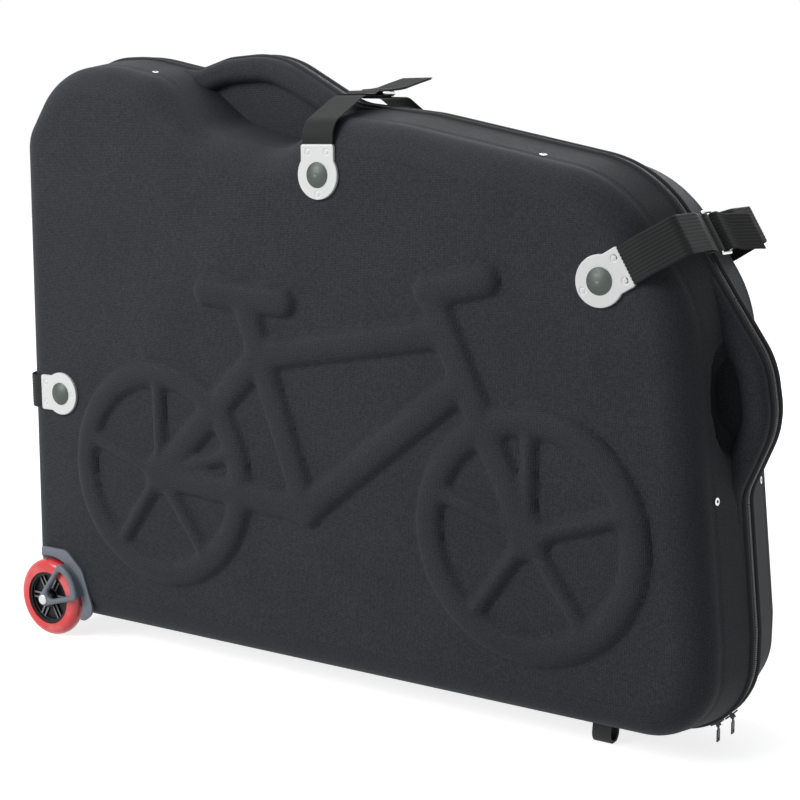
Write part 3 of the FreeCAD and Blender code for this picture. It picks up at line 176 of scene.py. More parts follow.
# What the arm replaces on the CAD housing: a disc round the axle, and a strip below the arm, given by its
# direction and its stretches along and beside it. Radius, stretches and depths in mm.
DISC_RADIUS, DISC_DEPTH = 72, 141
STRIP_RUN, STRIP_ALONG, STRIP_BESIDE, STRIP_DEPTH = np.array([0.959, 0.284]), (30, 100), (8, 40), 129.5
# Rounding of the housing's sharp edges, in mm.
HOUSING_ROUND = 1.1

# Scale of a wave texture whose bands lie a metre apart.
WAVE_SCALE = 0.3142
# Lamps of the studio: name, place, target and size in metres, power in watts.
LAMPS = (
    ("key", (-1.5, -3.0, 2.4), (0, 0, 0.45), 2.0, 102),
    ("top", (-0.6, 0.5, 3.0), (0, 0, 0.4), 2.2, 24),
    ("rear", (-0.8, 3.0, 1.4), (0, 0, 0.45), 2.0, 40),
)
# Floor of the studio: half its size, and the distances between which it pales to white, in metres.
FLOOR_REACH, FLOOR_PALES = 9.0, (1.0, 3.0)
# Camera of the photograph: place in metres, turn to the right, tilt down and roll in degrees, and lens in mm.
CAMERA_PLACE = (1.2906, -1.8527, 0.7844)
CAMERA_TURN, CAMERA_TILT, CAMERA_ROLL, CAMERA_LENS = 33.815, 9.730, -0.400, 73.16


class CaseSizes(bpy.types.PropertyGroup):
    """Sizes that shape the dressed case."""

    half_depth: FloatProperty(name="Half depth", description="Closing plane to the moulded face",
                              default=0.125, unit="LENGTH")
    edge_radius: FloatProperty(name="Edge radius", description="Rounding between face and side wall",
                               default=0.045, unit="LENGTH")
    wall: FloatProperty(name="Wall", description="Thickness of the moulded foam", default=0.005,
                        unit="LENGTH")
    relief_height: FloatProperty(name="Relief height", description="How far the bicycle stands off the face",
                                 default=0.011, unit="LENGTH")
    tooth_pitch: FloatProperty(name="Tooth pitch", description="Spacing of the zip teeth", default=0.0026,
                               unit="LENGTH")
    strap_width: FloatProperty(name="Strap width", description="Width of the webbing", default=0.050,
                               unit="LENGTH")
    rib_count: IntProperty(name="Webbing ribs", description="Lengthwise ribs across the webbing", default=11)


class CaseColours(bpy.types.PropertyGroup):
    """Colours of the case's finishes, as sRGB hex values."""

    nylon: StringProperty(name="Nylon", description="Woven cover of the shells", default="#35383C")
    binding: StringProperty(name="Binding", description="Piping beside the zip", default="#202124")
    webbing: StringProperty(name="Webbing", description="Ribbed strap webbing", default="#1A1B1C")
    tail: StringProperty(name="Strap tail", description="Hook-and-loop end of a strap", default="#59646B")
    plate: StringProperty(name="Strap plate", description="White lacquer", default="#F1F2F1")
    tyre: StringProperty(name="Tyre", description="Cast polyurethane", default="#FB3A3E")
    housing: StringProperty(name="Wheel housing", description="Moulded plastic", default="#737A84")
    floor: StringProperty(name="Floor", description="Studio floor", default="#D2D2D3")


def sizes():
    """Sizes in force, from the scene."""
    return bpy.context.scene.case_sizes


def colours():
    """Colours in force, from the scene."""
    return bpy.context.scene.case_colours


def linear(hex_colour):
    """Linear RGBA of an sRGB hex value."""
    channels = [int(hex_colour[i:i + 2], 16) / 255 for i in (1, 3, 5)]
    return [c / 12.92 if c <= 0.04045 else ((c + 0.055) / 1.055) ** 2.4 for c in channels] + [1.0]


def toned(colour, factor):
    """Linear colour made darker or lighter by a factor."""
    return [channel * factor for channel in colour[:3]] + [1.0]


def add(tree, kind, inputs=None, **settings):
    """Add a shader node: settings are its own, inputs are values or the sockets that feed it."""
    made = tree.nodes.new(kind)
    for key, value in settings.items():
        setattr(made, key, value)
    for key, value in (inputs or {}).items():
        if isinstance(value, bpy.types.NodeSocket):
            tree.links.new(value, made.inputs[key])
        else:
            made.inputs[key].default_value = value
    return made


def material(name, **values):
    """New material with a Principled shader whose sockets take the given values."""
    made = bpy.data.materials.new(name)
    made.use_nodes = True
    shader = made.node_tree.nodes["Principled BSDF"]
    for key, value in values.items():
        shader.inputs[key.replace("_", " ")].default_value = value
    return made, made.node_tree, shader


def smooth(x):
    """Smooth step from 0 to 1 over the unit interval."""
    x = np.clip(x, 0, 1)
    return x * x * (3 - 2 * x)


def trace(corners, inset, marks, closed=True):
    """Points and inward normals at marks along an outline of arcs and straight runs.

    Mark i + f lies on corner i's arc while f is under a half, and on the run after it from then on. The runs
    move to their right by the inset, so that an arc keeps its centre; arcs that would meet on a run both
    shrink.
    """
    spots = corners[:, :2]
    count = len(spots)
    runs = np.roll(spots, -1, 0) - spots
    if not closed:
        runs[-1] = runs[-2]
    runs = runs / np.linalg.norm(runs, axis=1)[:, None]
    come = np.roll(runs, 1, 0)
    if not closed:
        come[0] = runs[0]
    right = np.stack([runs[:, 1], -runs[:, 0]], 1)
    before = np.stack([come[:, 1], -come[:, 0]], 1)
    across = come[:, 0] * runs[:, 1] - come[:, 1] * runs[:, 0]
    half = 0.5 * np.arctan2(np.abs(across), (come * runs).sum(1))
    sign = np.where(across < 0, -1.0, 1.0)
    moved = spots + (before + right) * (inset / (1 + (before * right).sum(1)))[:, None]
    reach = (corners[:, 2] + sign * inset) * np.tan(half)
    room = 0.98 * np.linalg.norm(np.roll(moved, -1, 0) - moved, axis=1)
    share = np.minimum(1, room / np.maximum(reach + np.roll(reach, -1), 1e-9))
    if not closed:
        share[-1] = 1
    reach = reach * np.minimum(share, np.roll(share, 1))
    radius = reach / np.maximum(np.tan(half), 1e-9)
    start = moved - come * reach[:, None]
    end = moved + runs * reach[:, None]
    centre = start - before * (sign * radius)[:, None]
    whole = np.floor(marks).astype(int)
    part = (marks - whole)[:, None]
    i = whole % count if closed else np.clip(whole, 0, count - 1)
    after = (i + 1) % count
    turn = (2 * part[:, 0]) * 2 * half[i] * sign[i]
    cos, sin = np.cos(turn), np.sin(turn)
    arm = start[i] - centre[i]
    swung = np.stack([cos * arm[:, 0] - sin * arm[:, 1], sin * arm[:, 0] + cos * arm[:, 1]], 1)
    facing = np.stack([cos * before[i, 0] - sin * before[i, 1], sin * before[i, 0] + cos * before[i, 1]], 1)
    on_arc = part < 0.5
    points = np.where(on_arc, centre[i] + swung, end[i] + (start[after] - end[i]) * (2 * part - 1))
    return points, np.where(on_arc, facing, right[i])


def even_marks(corners, first, last, step, closed=True):
    """Marks between two marks whose points lie about a step apart along the outline."""
    dense = np.linspace(first, last, 6000)
    points, _ = trace(corners, 0.0, dense, closed)
    walked = np.concatenate([[0], np.cumsum(np.linalg.norm(np.diff(points, axis=0), axis=1))])
    count = max(2, int(round(walked[-1] / step)) + 1)
    return np.interp(np.linspace(0, walked[-1], count), walked, dense)


def at_depth(points, depth):
    """Points (x, z) carried to a signed depth from the closing plane."""
    return np.stack([points[..., 0], np.full(points.shape[:-1], depth), points[..., 1]], -1)


def carried(corners, section, marks, sign):
    """Rows of points: a section of (inset, depth) carried along an outline's marks."""
    return np.stack([at_depth(trace(corners, inset, marks)[0], sign * depth) for inset, depth in section])


def written(work, mesh):
    """Mesh that takes over a bmesh, with smooth faces."""
    work.to_mesh(mesh)
    work.free()
    mesh.polygons.foreach_set("use_smooth", np.ones(len(mesh.polygons), bool))
    return mesh


def placed(name, data):
    """New object of some data, linked into the scene."""
    made = bpy.data.objects.new(name, data)
    bpy.context.scene.collection.objects.link(made)
    return made


class Surface:
    """Grids and caps gathered into one mesh, each with its own place in the weave's UV map."""

    def __init__(self):
        self.points, self.faces, self.uvs, self.count = [], [], [], 0

    def grid(self, points, uv=None):
        """Add a grid of rows by columns of points in mm as quads; UVs are in mm too."""
        rows, columns = points.shape[:2]
        if uv is None:
            step = np.linalg.norm(np.diff(points, axis=1), axis=2).mean(0)
            rise = np.linalg.norm(np.diff(points, axis=0), axis=2).mean(1)
            across = np.concatenate([[0], np.cumsum(step)])
            along = np.concatenate([[0], np.cumsum(rise)])
            uv = np.stack(np.broadcast_arrays(across[None, :], along[:, None]), 2)
        index = np.arange(rows * columns).reshape(rows, columns) + self.count
        quads = np.stack([index[:-1, :-1], index[:-1, 1:], index[1:, 1:], index[1:, :-1]], 2)
        self.faces.append(quads.reshape(-1, 4))
        self.points.append(points.reshape(-1, 3))
        self.uvs.append(np.asarray(uv, float).reshape(-1, 2))
        self.count += rows * columns

    def cap(self, points):
        """Close a loop of points in mm with one flat face."""
        self.faces.append(np.arange(len(points))[None, :] + self.count)
        self.points.append(points)
        self.uvs.append(points[:, [0, 2]])
        self.count += len(points)

    def sweep(self, profile_rows):
        """Closed tube from a grid of profiles by stations, with capped ends."""
        closed = np.concatenate([profile_rows, profile_rows[:1]], 0)
        self.grid(closed)
        self.cap(profile_rows[:, 0])
        self.cap(profile_rows[::-1, -1])

    def mesh(self, name):
        """Mesh of all grids and caps in metres, welded, with faces turned outwards and smooth."""
        made = bpy.data.meshes.new(name)
        points = np.concatenate(self.points) * MM
        faces = [face for group in self.faces for face in group.tolist()]
        made.from_pydata(points, [], faces)
        layer = made.uv_layers.new(name="weave")
        corner = np.empty(len(made.loops), np.int32)
        made.loops.foreach_get("vertex_index", corner)
        layer.data.foreach_set("uv", (np.concatenate(self.uvs) * MM)[corner].astype(np.float32).ravel())
        work = bmesh.new()
        work.from_mesh(made)
        bmesh.ops.remove_doubles(work, verts=work.verts, dist=2e-6)
        bmesh.ops.dissolve_degenerate(work, edges=work.edges, dist=1e-7)
        bmesh.ops.recalc_face_normals(work, faces=work.faces)
        return written(work, made)


def swept(name, profile_rows):
    """Mesh of one closed tube with capped ends."""
    surface = Surface()
    surface.sweep(profile_rows)
    return surface.mesh(name)


def piece(name, mesh, finish, body, slot, *nodes):
    """Object of a mesh with a finish, riding on a body in place of CAD nodes."""
    made = placed(name, mesh)
    mesh.materials.clear()
    mesh.materials.append(finish)
    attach(made, body)
    if nodes:
        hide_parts(*nodes)
    return made


def sharpen(mesh, degrees):
    """Keep edges sharper than an angle crisp under smooth shading."""
    mesh.set_sharp_from_angle(angle=math.radians(degrees))


def side_of(half):
    """Sign of Y for a half of the case."""
    return -1.0 if half == "front" else 1.0


def wall_inset(depth):
    """How far the drafted side wall lies inside the rim at a depth from the closing plane, in mm."""
    return PROUD + DRAFT * (depth - BAND) / (sizes().half_depth / MM - BAND)


def wall_profile(thick):
    """Section of a shell as (inset, depth) from its edge to its face, at a distance inside the outer surface.

    A straight rim band, a wall that leans in by the draft, and an arc tangent to the wall and the face.
    """
    face = sizes().half_depth / MM - thick
    radius = sizes().edge_radius / MM - thick
    tilt = math.atan2(DRAFT, sizes().half_depth / MM - BAND)
    slope = 1 / math.cos(tilt)
    centre = wall_inset(face - radius) + thick * slope + radius * slope
    angles = np.linspace(-tilt, math.pi / 2, 16)
    arc = np.stack([centre - radius * np.cos(angles), face - radius + radius * np.sin(angles)], 1)
    arc[0, 0] = wall_inset(arc[0, 1]) + thick * slope
    depths = WALL_ROWS[WALL_ROWS < arc[0, 1] - 1]
    wall = np.stack([wall_inset(depths) + thick * slope, depths], 1)
    band = np.array([[PROUD + thick * slope, EDGE]])
    return np.concatenate([band, wall, arc])


def finger_dent(points, normals, depth):
    """How far the finger hollow behind the side grip dents the wall, in mm: an oval with a soft brim."""
    oval = np.hypot((points[:, 1] - HOLLOW_Z) / HOLLOW_TALL, (depth - HOLLOW_DEPTH) / HOLLOW_DEPTH)
    right_wall = normals[:, 0] < -0.8
    return HOLLOW_SINK * smooth((1 - oval) / HOLLOW_BRIM) * right_wall


def relief_height(x, z):
    """Height of the bicycle relief over the face in mm.

    Signed distances to two rings, their spokes and hubs and the frame's tubes are joined by a soft minimum.
    From that outline the height climbs inwards as a quarter of an ellipse to a rounded crest.
    """
    distances = []
    for axle_x, axle_z in RELIEF_AXLES:
        out = np.hypot(x - axle_x, z - axle_z)
        middle = RELIEF_WHEEL - RELIEF_BAND / 2
        distances += [np.abs(out - middle) - RELIEF_BAND / 2, out - RELIEF_HUB]
        angle = np.arctan2(z - axle_z, x - axle_x) - math.pi / 2
        step = 2 * math.pi / RELIEF_SPOKES
        nearest = (angle + step / 2) % step - step / 2
        distances.append(np.where(out < middle, np.abs(out * np.sin(nearest)) - RELIEF_SPOKE / 2, 99))
    for x0, z0, x1, z1 in RELIEF_TUBES:
        run = np.array([x1 - x0, z1 - z0])
        along = np.clip(((x - x0) * run[0] + (z - z0) * run[1]) / run.dot(run), 0, 1)
        distances.append(np.hypot(x - x0 - along * run[0], z - z0 - along * run[1]) - RELIEF_TUBE / 2)
    stack = np.stack(distances)
    distance = -np.log(np.exp(-RELIEF_BLEND * np.clip(stack, -60, 60)).sum(0)) / RELIEF_BLEND
    climb = np.clip((RELIEF_FOOT - distance) / RELIEF_SLOPE, 0, 1)
    return sizes().relief_height / MM * np.sqrt(1 - (1 - climb) ** 2)


def shell_body(half):
    """Hollow half: rows of the outline from rim to face outside, the relief's grid, and the same rows inside.

    The outline's marks are those that lie in the direction of each point on the border of the relief's grid,
    seen from the middle of that grid, so that the face's rows run straight from the outline to the grid.
    """
    sign = side_of(half)
    face = sizes().half_depth / MM
    across, rise = np.meshgrid(np.linspace(0, 1, GRID_COLUMNS), np.linspace(0, 1, GRID_ROWS))
    z = GRID_LOW + (np.interp(across, *GRID_TOP) - GRID_LOW) * rise
    x = GRID_LEFT + (np.interp(z, *GRID_RIGHT) - GRID_LEFT) * across
    spots = np.stack([x, z], 2)
    border = np.concatenate([spots[:-1, 0], spots[-1, :-1], spots[:0:-1, -1], spots[0, ::-1]])
    middle = spots.mean((0, 1))
    dense = np.linspace(0, len(BODY), 12000)
    ring, _ = trace(BODY, wall_profile(0.0)[-1, 0], dense)
    seen = -np.unwrap(np.arctan2(*(ring - middle).T[::-1]))
    wanted = -np.unwrap(np.arctan2(*(border - middle).T[::-1]))
    wanted += 2 * math.pi * np.round((seen[0] - wanted[0]) / (2 * math.pi))
    if wanted[0] < seen[0]:
        dense = np.concatenate([dense - len(BODY), dense[1:]])
        seen = np.concatenate([seen - 2 * math.pi, seen[1:]])
    else:
        dense = np.concatenate([dense, dense[1:] + len(BODY)])
        seen = np.concatenate([seen, seen[1:] + 2 * math.pi])
    marks = np.interp(wanted, seen, dense)
    marks[-1] = marks[0] + len(BODY)
    surface = Surface()
    skins = []
    for thick in (0.0, sizes().wall / MM):
        rows = []
        for inset, depth in wall_profile(thick):
            points, normals = trace(BODY, inset, marks)
            points = points + normals * finger_dent(points, normals, depth)[:, None]
            rows.append(at_depth(points, sign * depth))
        skins.append(np.stack(rows))
    outer, inner = skins
    surface.grid(outer)
    surface.grid(inner)
    surface.grid(np.stack([outer[0], inner[0]]))
    share = np.linspace(0, 1, 9)[:, None, None]
    ring_rows = outer[-1][None] * (1 - share) + at_depth(border, sign * face)[None] * share
    surface.grid(ring_rows, uv=ring_rows[:, :, [0, 2]])
    height = relief_height(x, z)
    height[[0, -1], :] = 0
    height[:, [0, -1]] = 0
    patch = np.stack([x, sign * (face + height), z], 2)
    surface.grid(patch, uv=patch[:, :, [0, 2]])
    surface.cap(inner[-1][:-1])
    return surface.mesh(f"{half}_shell_body")


def prism_cutter(spots, near, far):
    """Closed prism along Y: an outline of (x, z) spots carried from one depth to another, in mm."""
    return swept("cutter", np.stack([at_depth(spots, near), at_depth(spots, far)], 1))


def cylinder_cutter(x, z, radius, near, far):
    """Closed cylinder along Y from one depth to another, in mm."""
    turn = np.linspace(0, 2 * math.pi, 129)[:-1]
    return prism_cutter(np.stack([x + radius * np.cos(turn), z + radius * np.sin(turn)], 1), near, far)


def cut_away(mesh, cutters):
    """Mesh with each closed cutter taken away, by an applied Boolean."""
    body = placed("cutting", mesh)
    helpers = [placed("cutter", cutter) for cutter in cutters]
    for helper in helpers:
        change = body.modifiers.new("cut", "BOOLEAN")
        change.operation = "DIFFERENCE"
        change.solver = "EXACT"
        change.object = helper
    bpy.context.view_layer.update()
    made = bpy.data.meshes.new_from_object(body.evaluated_get(bpy.context.evaluated_depsgraph_get()))
    for helper in helpers + [body]:
        bpy.data.objects.remove(helper)
    return made


def joined(name, *meshes):
    """One mesh of several, with smooth faces."""
    work = bmesh.new()
    for mesh in meshes:
        work.from_mesh(mesh)
    return written(work, bpy.data.meshes.new(name))


def fork_arm(sign):
    """Fork arm: a ring between its outline and its window, its front edges rounded as quarter ellipses."""
    marks = np.linspace(0, len(ARM), 161)
    turn = np.linspace(0, math.pi / 2, 7)
    rounding = ARM_ROUND * (1 - np.cos(turn))
    levels = ARM_SIDE + (ARM_FRONT - ARM_SIDE) * np.sin(turn)
    section = [(ARM, 0.0, ARM_BACK)] + [(ARM, inset, level) for inset, level in zip(rounding, levels)]
    section += [(ARM_WINDOW, -inset, level) for inset, level in zip(rounding[::-1], levels[::-1])]
    section += [(ARM_WINDOW, 0.0, ARM_BACK), section[0]]
    surface = Surface()
    surface.grid(np.stack([at_depth(trace(corners, inset, marks)[0] + AXLE, sign * level)
                           for corners, inset, level in section]))
    return surface.mesh("fork_arm")


def grip_arch(surface, sign, span):
    """Bar along the rim over a grip: a section with quarter-round front corners carried along the rim."""
    turn = np.linspace(0, math.pi / 2, 8)
    rise, fall = ARCH_ROUND * np.sin(turn), ARCH_ROUND * np.cos(turn)
    near, far, level = ARCH_NEAR + ARCH_ROUND, ARCH_FAR - ARCH_ROUND, ARCH_FRONT - ARCH_ROUND
    section = np.concatenate([
        [(ARCH_NEAR, ARCH_BACK)], np.stack([near - fall, level + rise], 1),
        np.stack([far + rise, level + fall], 1), [(ARCH_FAR, ARCH_BACK)],
    ])
    surface.sweep(carried(RIM, section, even_marks(RIM, *span, ARCH_STEP), sign))


def grip_web(surface, sign, rim_span, body_span, reach):
    """Thin floor behind a grip arch: straight lines from the arch's inner edge into the body's wall."""
    arch, _ = trace(RIM, WEB_INSET, np.linspace(*rim_span, 70))
    base, _ = trace(BODY, reach, np.linspace(*body_span, 70))
    across = np.linspace(0, 1, 7)[:, None, None]
    flat = arch[None] * (1 - across) + base[None] * across
    surface.sweep(np.concatenate([at_depth(flat, sign * WEB_FRONT), at_depth(flat[::-1], sign * WEB_BACK)]))


def nylon_cover():
    """Woven nylon laminated on moulded foam: a fine plain weave, a soft sheen and slightly uneven dye."""
    made, tree, shader = material("woven nylon over foam", Roughness=0.7, Specular_IOR_Level=0.15,
                                  Sheen_Weight=0.03, Sheen_Roughness=0.5)
    # Threads lie 0.7 mm apart, too fine to show; they are drawn 2.2 mm apart.
    threads = WAVE_SCALE / 0.0022
    uv = add(tree, "ShaderNodeUVMap", uv_map="weave")
    where = add(tree, "ShaderNodeTexCoord")
    waves = {"Vector": uv.outputs["UV"], "Scale": threads, "Distortion": 0.4}
    warp, weft = (add(tree, "ShaderNodeTexWave", waves, bands_direction=way) for way in "XY")
    weave = add(tree, "ShaderNodeMath", {0: warp.outputs["Fac"], 1: weft.outputs["Fac"]},
                operation="MULTIPLY")
    blotch = add(tree, "ShaderNodeTexNoise", {"Vector": where.outputs["Object"], "Scale": 9.0, "Detail": 4.0})
    lint = add(tree, "ShaderNodeTexNoise", {"Vector": where.outputs["Object"], "Scale": 420.0, "Detail": 2.0})
    base = linear(colours().nylon)
    tone = add(tree, "ShaderNodeMixRGB", {"Fac": blotch.outputs["Fac"], "Color1": toned(base, 0.8),
                                         "Color2": toned(base, 1.22)})
    shade = add(tree, "ShaderNodeMapRange", {"Value": weave.outputs[0], "From Max": 1.0, "To Min": 0.62,
                                            "To Max": 1.55})
    speck = add(tree, "ShaderNodeMapRange", {"Value": lint.outputs["Fac"], "From Min": 0.35, "From Max": 0.7,
                                            "To Min": 0.72, "To Max": 1.32})
    grain = add(tree, "ShaderNodeMath", {0: shade.outputs[0], 1: speck.outputs[0]}, operation="MULTIPLY")
    colour = add(tree, "ShaderNodeVectorMath", {0: tone.outputs[0], "Scale": grain.outputs[0]},
                 operation="SCALE")
    tree.links.new(colour.outputs[0], shader.inputs["Base Color"])
    bump = add(tree, "ShaderNodeBump", {"Height": weave.outputs[0], "Strength": 0.5, "Distance": 0.0003})
    tree.links.new(bump.outputs[0], shader.inputs["Normal"])
    return made


def woven_tape(name, hex_colour, pitch, rough):
    """Narrow woven polyester: slanting threads about a pitch apart, in metres, matt, with a little sheen."""
    made, tree, shader = material(name, Roughness=rough, Specular_IOR_Level=0.2, Sheen_Weight=0.04)
    uv = add(tree, "ShaderNodeUVMap", uv_map="weave")
    along = add(tree, "ShaderNodeTexWave", {"Vector": uv.outputs["UV"], "Scale": WAVE_SCALE / pitch,
                                            "Distortion": 0.6, "Detail": 1.0}, bands_direction="DIAGONAL")
    base = linear(hex_colour)
    tone = add(tree, "ShaderNodeMixRGB", {"Fac": along.outputs["Fac"], "Color1": toned(base, 0.7),
                                         "Color2": toned(base, 1.3)})
    tree.links.new(tone.outputs[0], shader.inputs["Base Color"])
    bump = add(tree, "ShaderNodeBump", {"Height": along.outputs["Fac"], "Strength": 0.4, "Distance": 0.0003})
    tree.links.new(bump.outputs[0], shader.inputs["Normal"])
    return made


def worn_metal(name, hex_colour, metallic, rough, grit, scratch=0.08):
    """Metal or lacquer with fine grit and handling marks: gloss varies by noise at a grit size in metres."""
    made, tree, shader = material(name, Metallic=metallic, Base_Color=linear(hex_colour))
    where = add(tree, "ShaderNodeTexCoord")
    marks = add(tree, "ShaderNodeTexNoise", {"Vector": where.outputs["Object"], "Scale": 1 / grit,
                                             "Detail": 6.0})
    gloss = add(tree, "ShaderNodeMapRange", {"Value": marks.outputs["Fac"], "To Min": rough * 0.7,
                                             "To Max": rough * 1.4})
    tree.links.new(gloss.outputs[0], shader.inputs["Roughness"])
    bump = add(tree, "ShaderNodeBump", {"Height": marks.outputs["Fac"], "Strength": scratch,
                                        "Distance": 0.0002})
    tree.links.new(bump.outputs[0], shader.inputs["Normal"])
    return made


def moulded_plastic(name, hex_colour, rough, grain):
    """Injection-moulded plastic: spark-eroded grain at a size in metres, in a slightly uneven tone."""
    made, tree, shader = material(name, Roughness=rough)
    where = add(tree, "ShaderNodeTexCoord")
    pits = add(tree, "ShaderNodeTexNoise", {"Vector": where.outputs["Object"], "Scale": 1 / grain,
                                            "Detail": 3.0})
    base = linear(hex_colour)
    tone = add(tree, "ShaderNodeMixRGB", {"Fac": pits.outputs["Fac"], "Color1": toned(base, 0.85),
                                         "Color2": toned(base, 1.15)})
    tree.links.new(tone.outputs[0], shader.inputs["Base Color"])
    bump = add(tree, "ShaderNodeBump", {"Height": pits.outputs["Fac"], "Strength": 0.25, "Distance": 0.0003})
    tree.links.new(bump.outputs[0], shader.inputs["Normal"])
    return made


def cast_polyurethane():
    """Cast polyurethane tyre: clear red with paler clouds where the casting scatters light, glossy tread."""
    made, tree, shader = material("cast polyurethane", Roughness=0.28, Transmission_Weight=0.12, IOR=1.5,
                                  Coat_Weight=0.3)
    where = add(tree, "ShaderNodeTexCoord")
    clouds = add(tree, "ShaderNodeTexNoise", {"Vector": where.outputs["Object"], "Scale": 26.0,
                                              "Detail": 2.0})
    base = linear(colours().tyre)
    pale = [min(1.0, c * 1.1 + 0.16) for c in base[:3]] + [1]
    # Pale clouds lie where the noise is high.
    spread = add(tree, "ShaderNodeMapRange", {"Value": clouds.outputs["Fac"], "From Min": 0.5,
                                              "From Max": 0.75})
    tone = add(tree, "ShaderNodeMixRGB", {"Fac": spread.outputs[0], "Color1": base, "Color2": pale})
    tree.links.new(tone.outputs[0], shader.inputs["Base Color"])
    return made


def ribbed_hub():
    """Moulded nylon hub: black, pale grey in a thin band of depths at its ribs' crests."""
    made, tree, shader = material("moulded nylon hub", Roughness=0.4, Specular_IOR_Level=0.25)
    where = add(tree, "ShaderNodeTexCoord")
    axes = add(tree, "ShaderNodeSeparateXYZ", {"Vector": where.outputs["Object"]})
    side = add(tree, "ShaderNodeMath", {0: axes.outputs["Y"]}, operation="ABSOLUTE")
    out = add(tree, "ShaderNodeMath", {0: side.outputs[0], 1: WHEEL_DEPTH * MM}, operation="SUBTRACT")
    proud = add(tree, "ShaderNodeMath", {0: out.outputs[0]}, operation="ABSOLUTE")
    crest = add(tree, "ShaderNodeMath", {0: proud.outputs[0], 1: CREST_MIDDLE * MM, 2: CREST_HALF * MM},
                operation="COMPARE")
    tone = add(tree, "ShaderNodeMixRGB", {"Fac": crest.outputs[0], "Color1": linear("#0E0F10"),
                                         "Color2": linear("#8A8D90")})
    tree.links.new(tone.outputs[0], shader.inputs["Base Color"])
    return made


def rounded_copy(node, name):
    """Copy of a CAD node's mesh, merged and with its flat faces joined, ready for a Bevel."""
    work = bmesh.new()
    work.from_mesh(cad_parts[node].data)
    bmesh.ops.remove_doubles(work, verts=work.verts, dist=2e-5)
    bmesh.ops.dissolve_limit(work, angle_limit=math.radians(1), verts=work.verts, edges=work.edges)
    return written(work, bpy.data.meshes.new(name))


def soften(made, width):
    """Round the sharp edges of a piece by a width in mm."""
    bevel = made.modifiers.new("rounding", "BEVEL")
    bevel.width = width * MM
    bevel.segments = 3
    bevel.limit_method = "ANGLE"
    bevel.angle_limit = math.radians(35)
    bevel.harden_normals = True


def dress(nodes, finish):
    """Give CAD nodes a finish."""
    for name in nodes:
        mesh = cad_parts[name].data
        mesh.materials.clear()
        mesh.materials.append(finish)


class CASE_OT_shells(bpy.types.Operator):
    """Build both moulded halves with their relief, grips and hollows"""

    bl_idname = "case.shells"
    bl_label = "Moulded shells"

    def execute(self, context):
        cover = nylon_cover()
        west, east = GUSSET_X
        below = np.array([(west, 0), (east, 0), (east, GUSSET_SLOT), (west, GUSSET_SLOT)])
        for half in HALVES:
            sign = side_of(half)
            slot = prism_cutter(below, 0.0, sign * GUSSET_HALF)
            well = cylinder_cutter(*AXLE, WELL_RADIUS, sign * OUTSIDE, sign * WELL_FLOOR)
            body = cut_away(shell_body(half), [slot, well])
            grips = Surface()
            for span, *web in GRIPS:
                grip_arch(grips, sign, span)
                grip_web(grips, sign, *web)
            whole = joined(f"{half}_cover", body, grips.mesh("grips"))
            sharpen(whole, 50)
            piece(f"{half}_moulded_cover", whole, cover, f"{half}_shell", "case_fabric", f"{half}_shell")
        return {"FINISHED"}


class CASE_OT_zip(bpy.types.Operator):
    """Build the piping, tapes and separate teeth of the zip along both rims"""

    bl_idname = "case.zip"
    bl_label = "Zip and piping"

    def execute(self, context):
        piping = woven_tape("woven polyester piping", colours().binding, 0.0024, 0.6)
        tape = woven_tape("woven zip tape", "#17181A", 0.0016, 0.7)
        teeth = worn_metal("black nickel teeth", "#68686A", 1.0, 0.36, 0.004)
        marks = even_marks(RIM, *ZIPPED, ZIP_STEP)
        turn = np.linspace(0, math.pi, 13)
        bead = np.array(BEAD_MIDDLE) - np.array(BEAD_HALF) * np.stack([np.sin(turn), np.cos(turn)], 1)
        for half in HALVES:
            self.strip(half, "piping", bead, marks, piping, "binding", "binding")
            self.strip(half, "tape", TAPE_SECTION, marks, tape, "zip_tape", "zip_tape")
            self.teeth(half, teeth)
        return {"FINISHED"}

    def strip(self, half, name, section, marks, finish, slot, node):
        """Section of (inset, depth) carried along the rim's marks."""
        mesh = swept(f"{half}_{name}", carried(RIM, section, marks, side_of(half)))
        sharpen(mesh, 60)
        piece(f"{half}_{name}", mesh, finish, f"{half}_shell", slot, f"{half}_{node}")

    def teeth(self, half, finish):
        """Row of teeth: a small tapered block at every pitch along the rim, the back row half a pitch on."""
        marks = even_marks(RIM, *ZIPPED, sizes().tooth_pitch / MM)
        if half == "back":
            marks = 0.5 * (marks[1:] + marks[:-1])
        points, inward = trace(RIM, TEETH_INSET, marks)
        clear = points[:, 1] > TEETH_LOW
        points, inward = points[clear], inward[clear]
        along = np.stack([inward[:, 1], -inward[:, 0]], 1)
        step, drop, depth = TOOTH.T
        spots = points[:, None] + along[:, None] * step[None, :, None] + inward[:, None] * drop[None, :, None]
        corners = at_depth(spots, side_of(half) * depth)
        faces = TOOTH_FACES[None] + len(TOOTH) * np.arange(len(points))[:, None, None]
        mesh = bpy.data.meshes.new(f"{half}_teeth")
        mesh.from_pydata(corners.reshape(-1, 3) * MM, [], faces.reshape(-1, 4).tolist())
        work = bmesh.new()
        work.from_mesh(mesh)
        bmesh.ops.recalc_face_normals(work, faces=work.faces)
        work.to_mesh(mesh)
        work.free()
        piece(f"{half}_teeth", mesh, finish, f"{half}_shell", "zip_metal", f"{half}_zip_teeth")


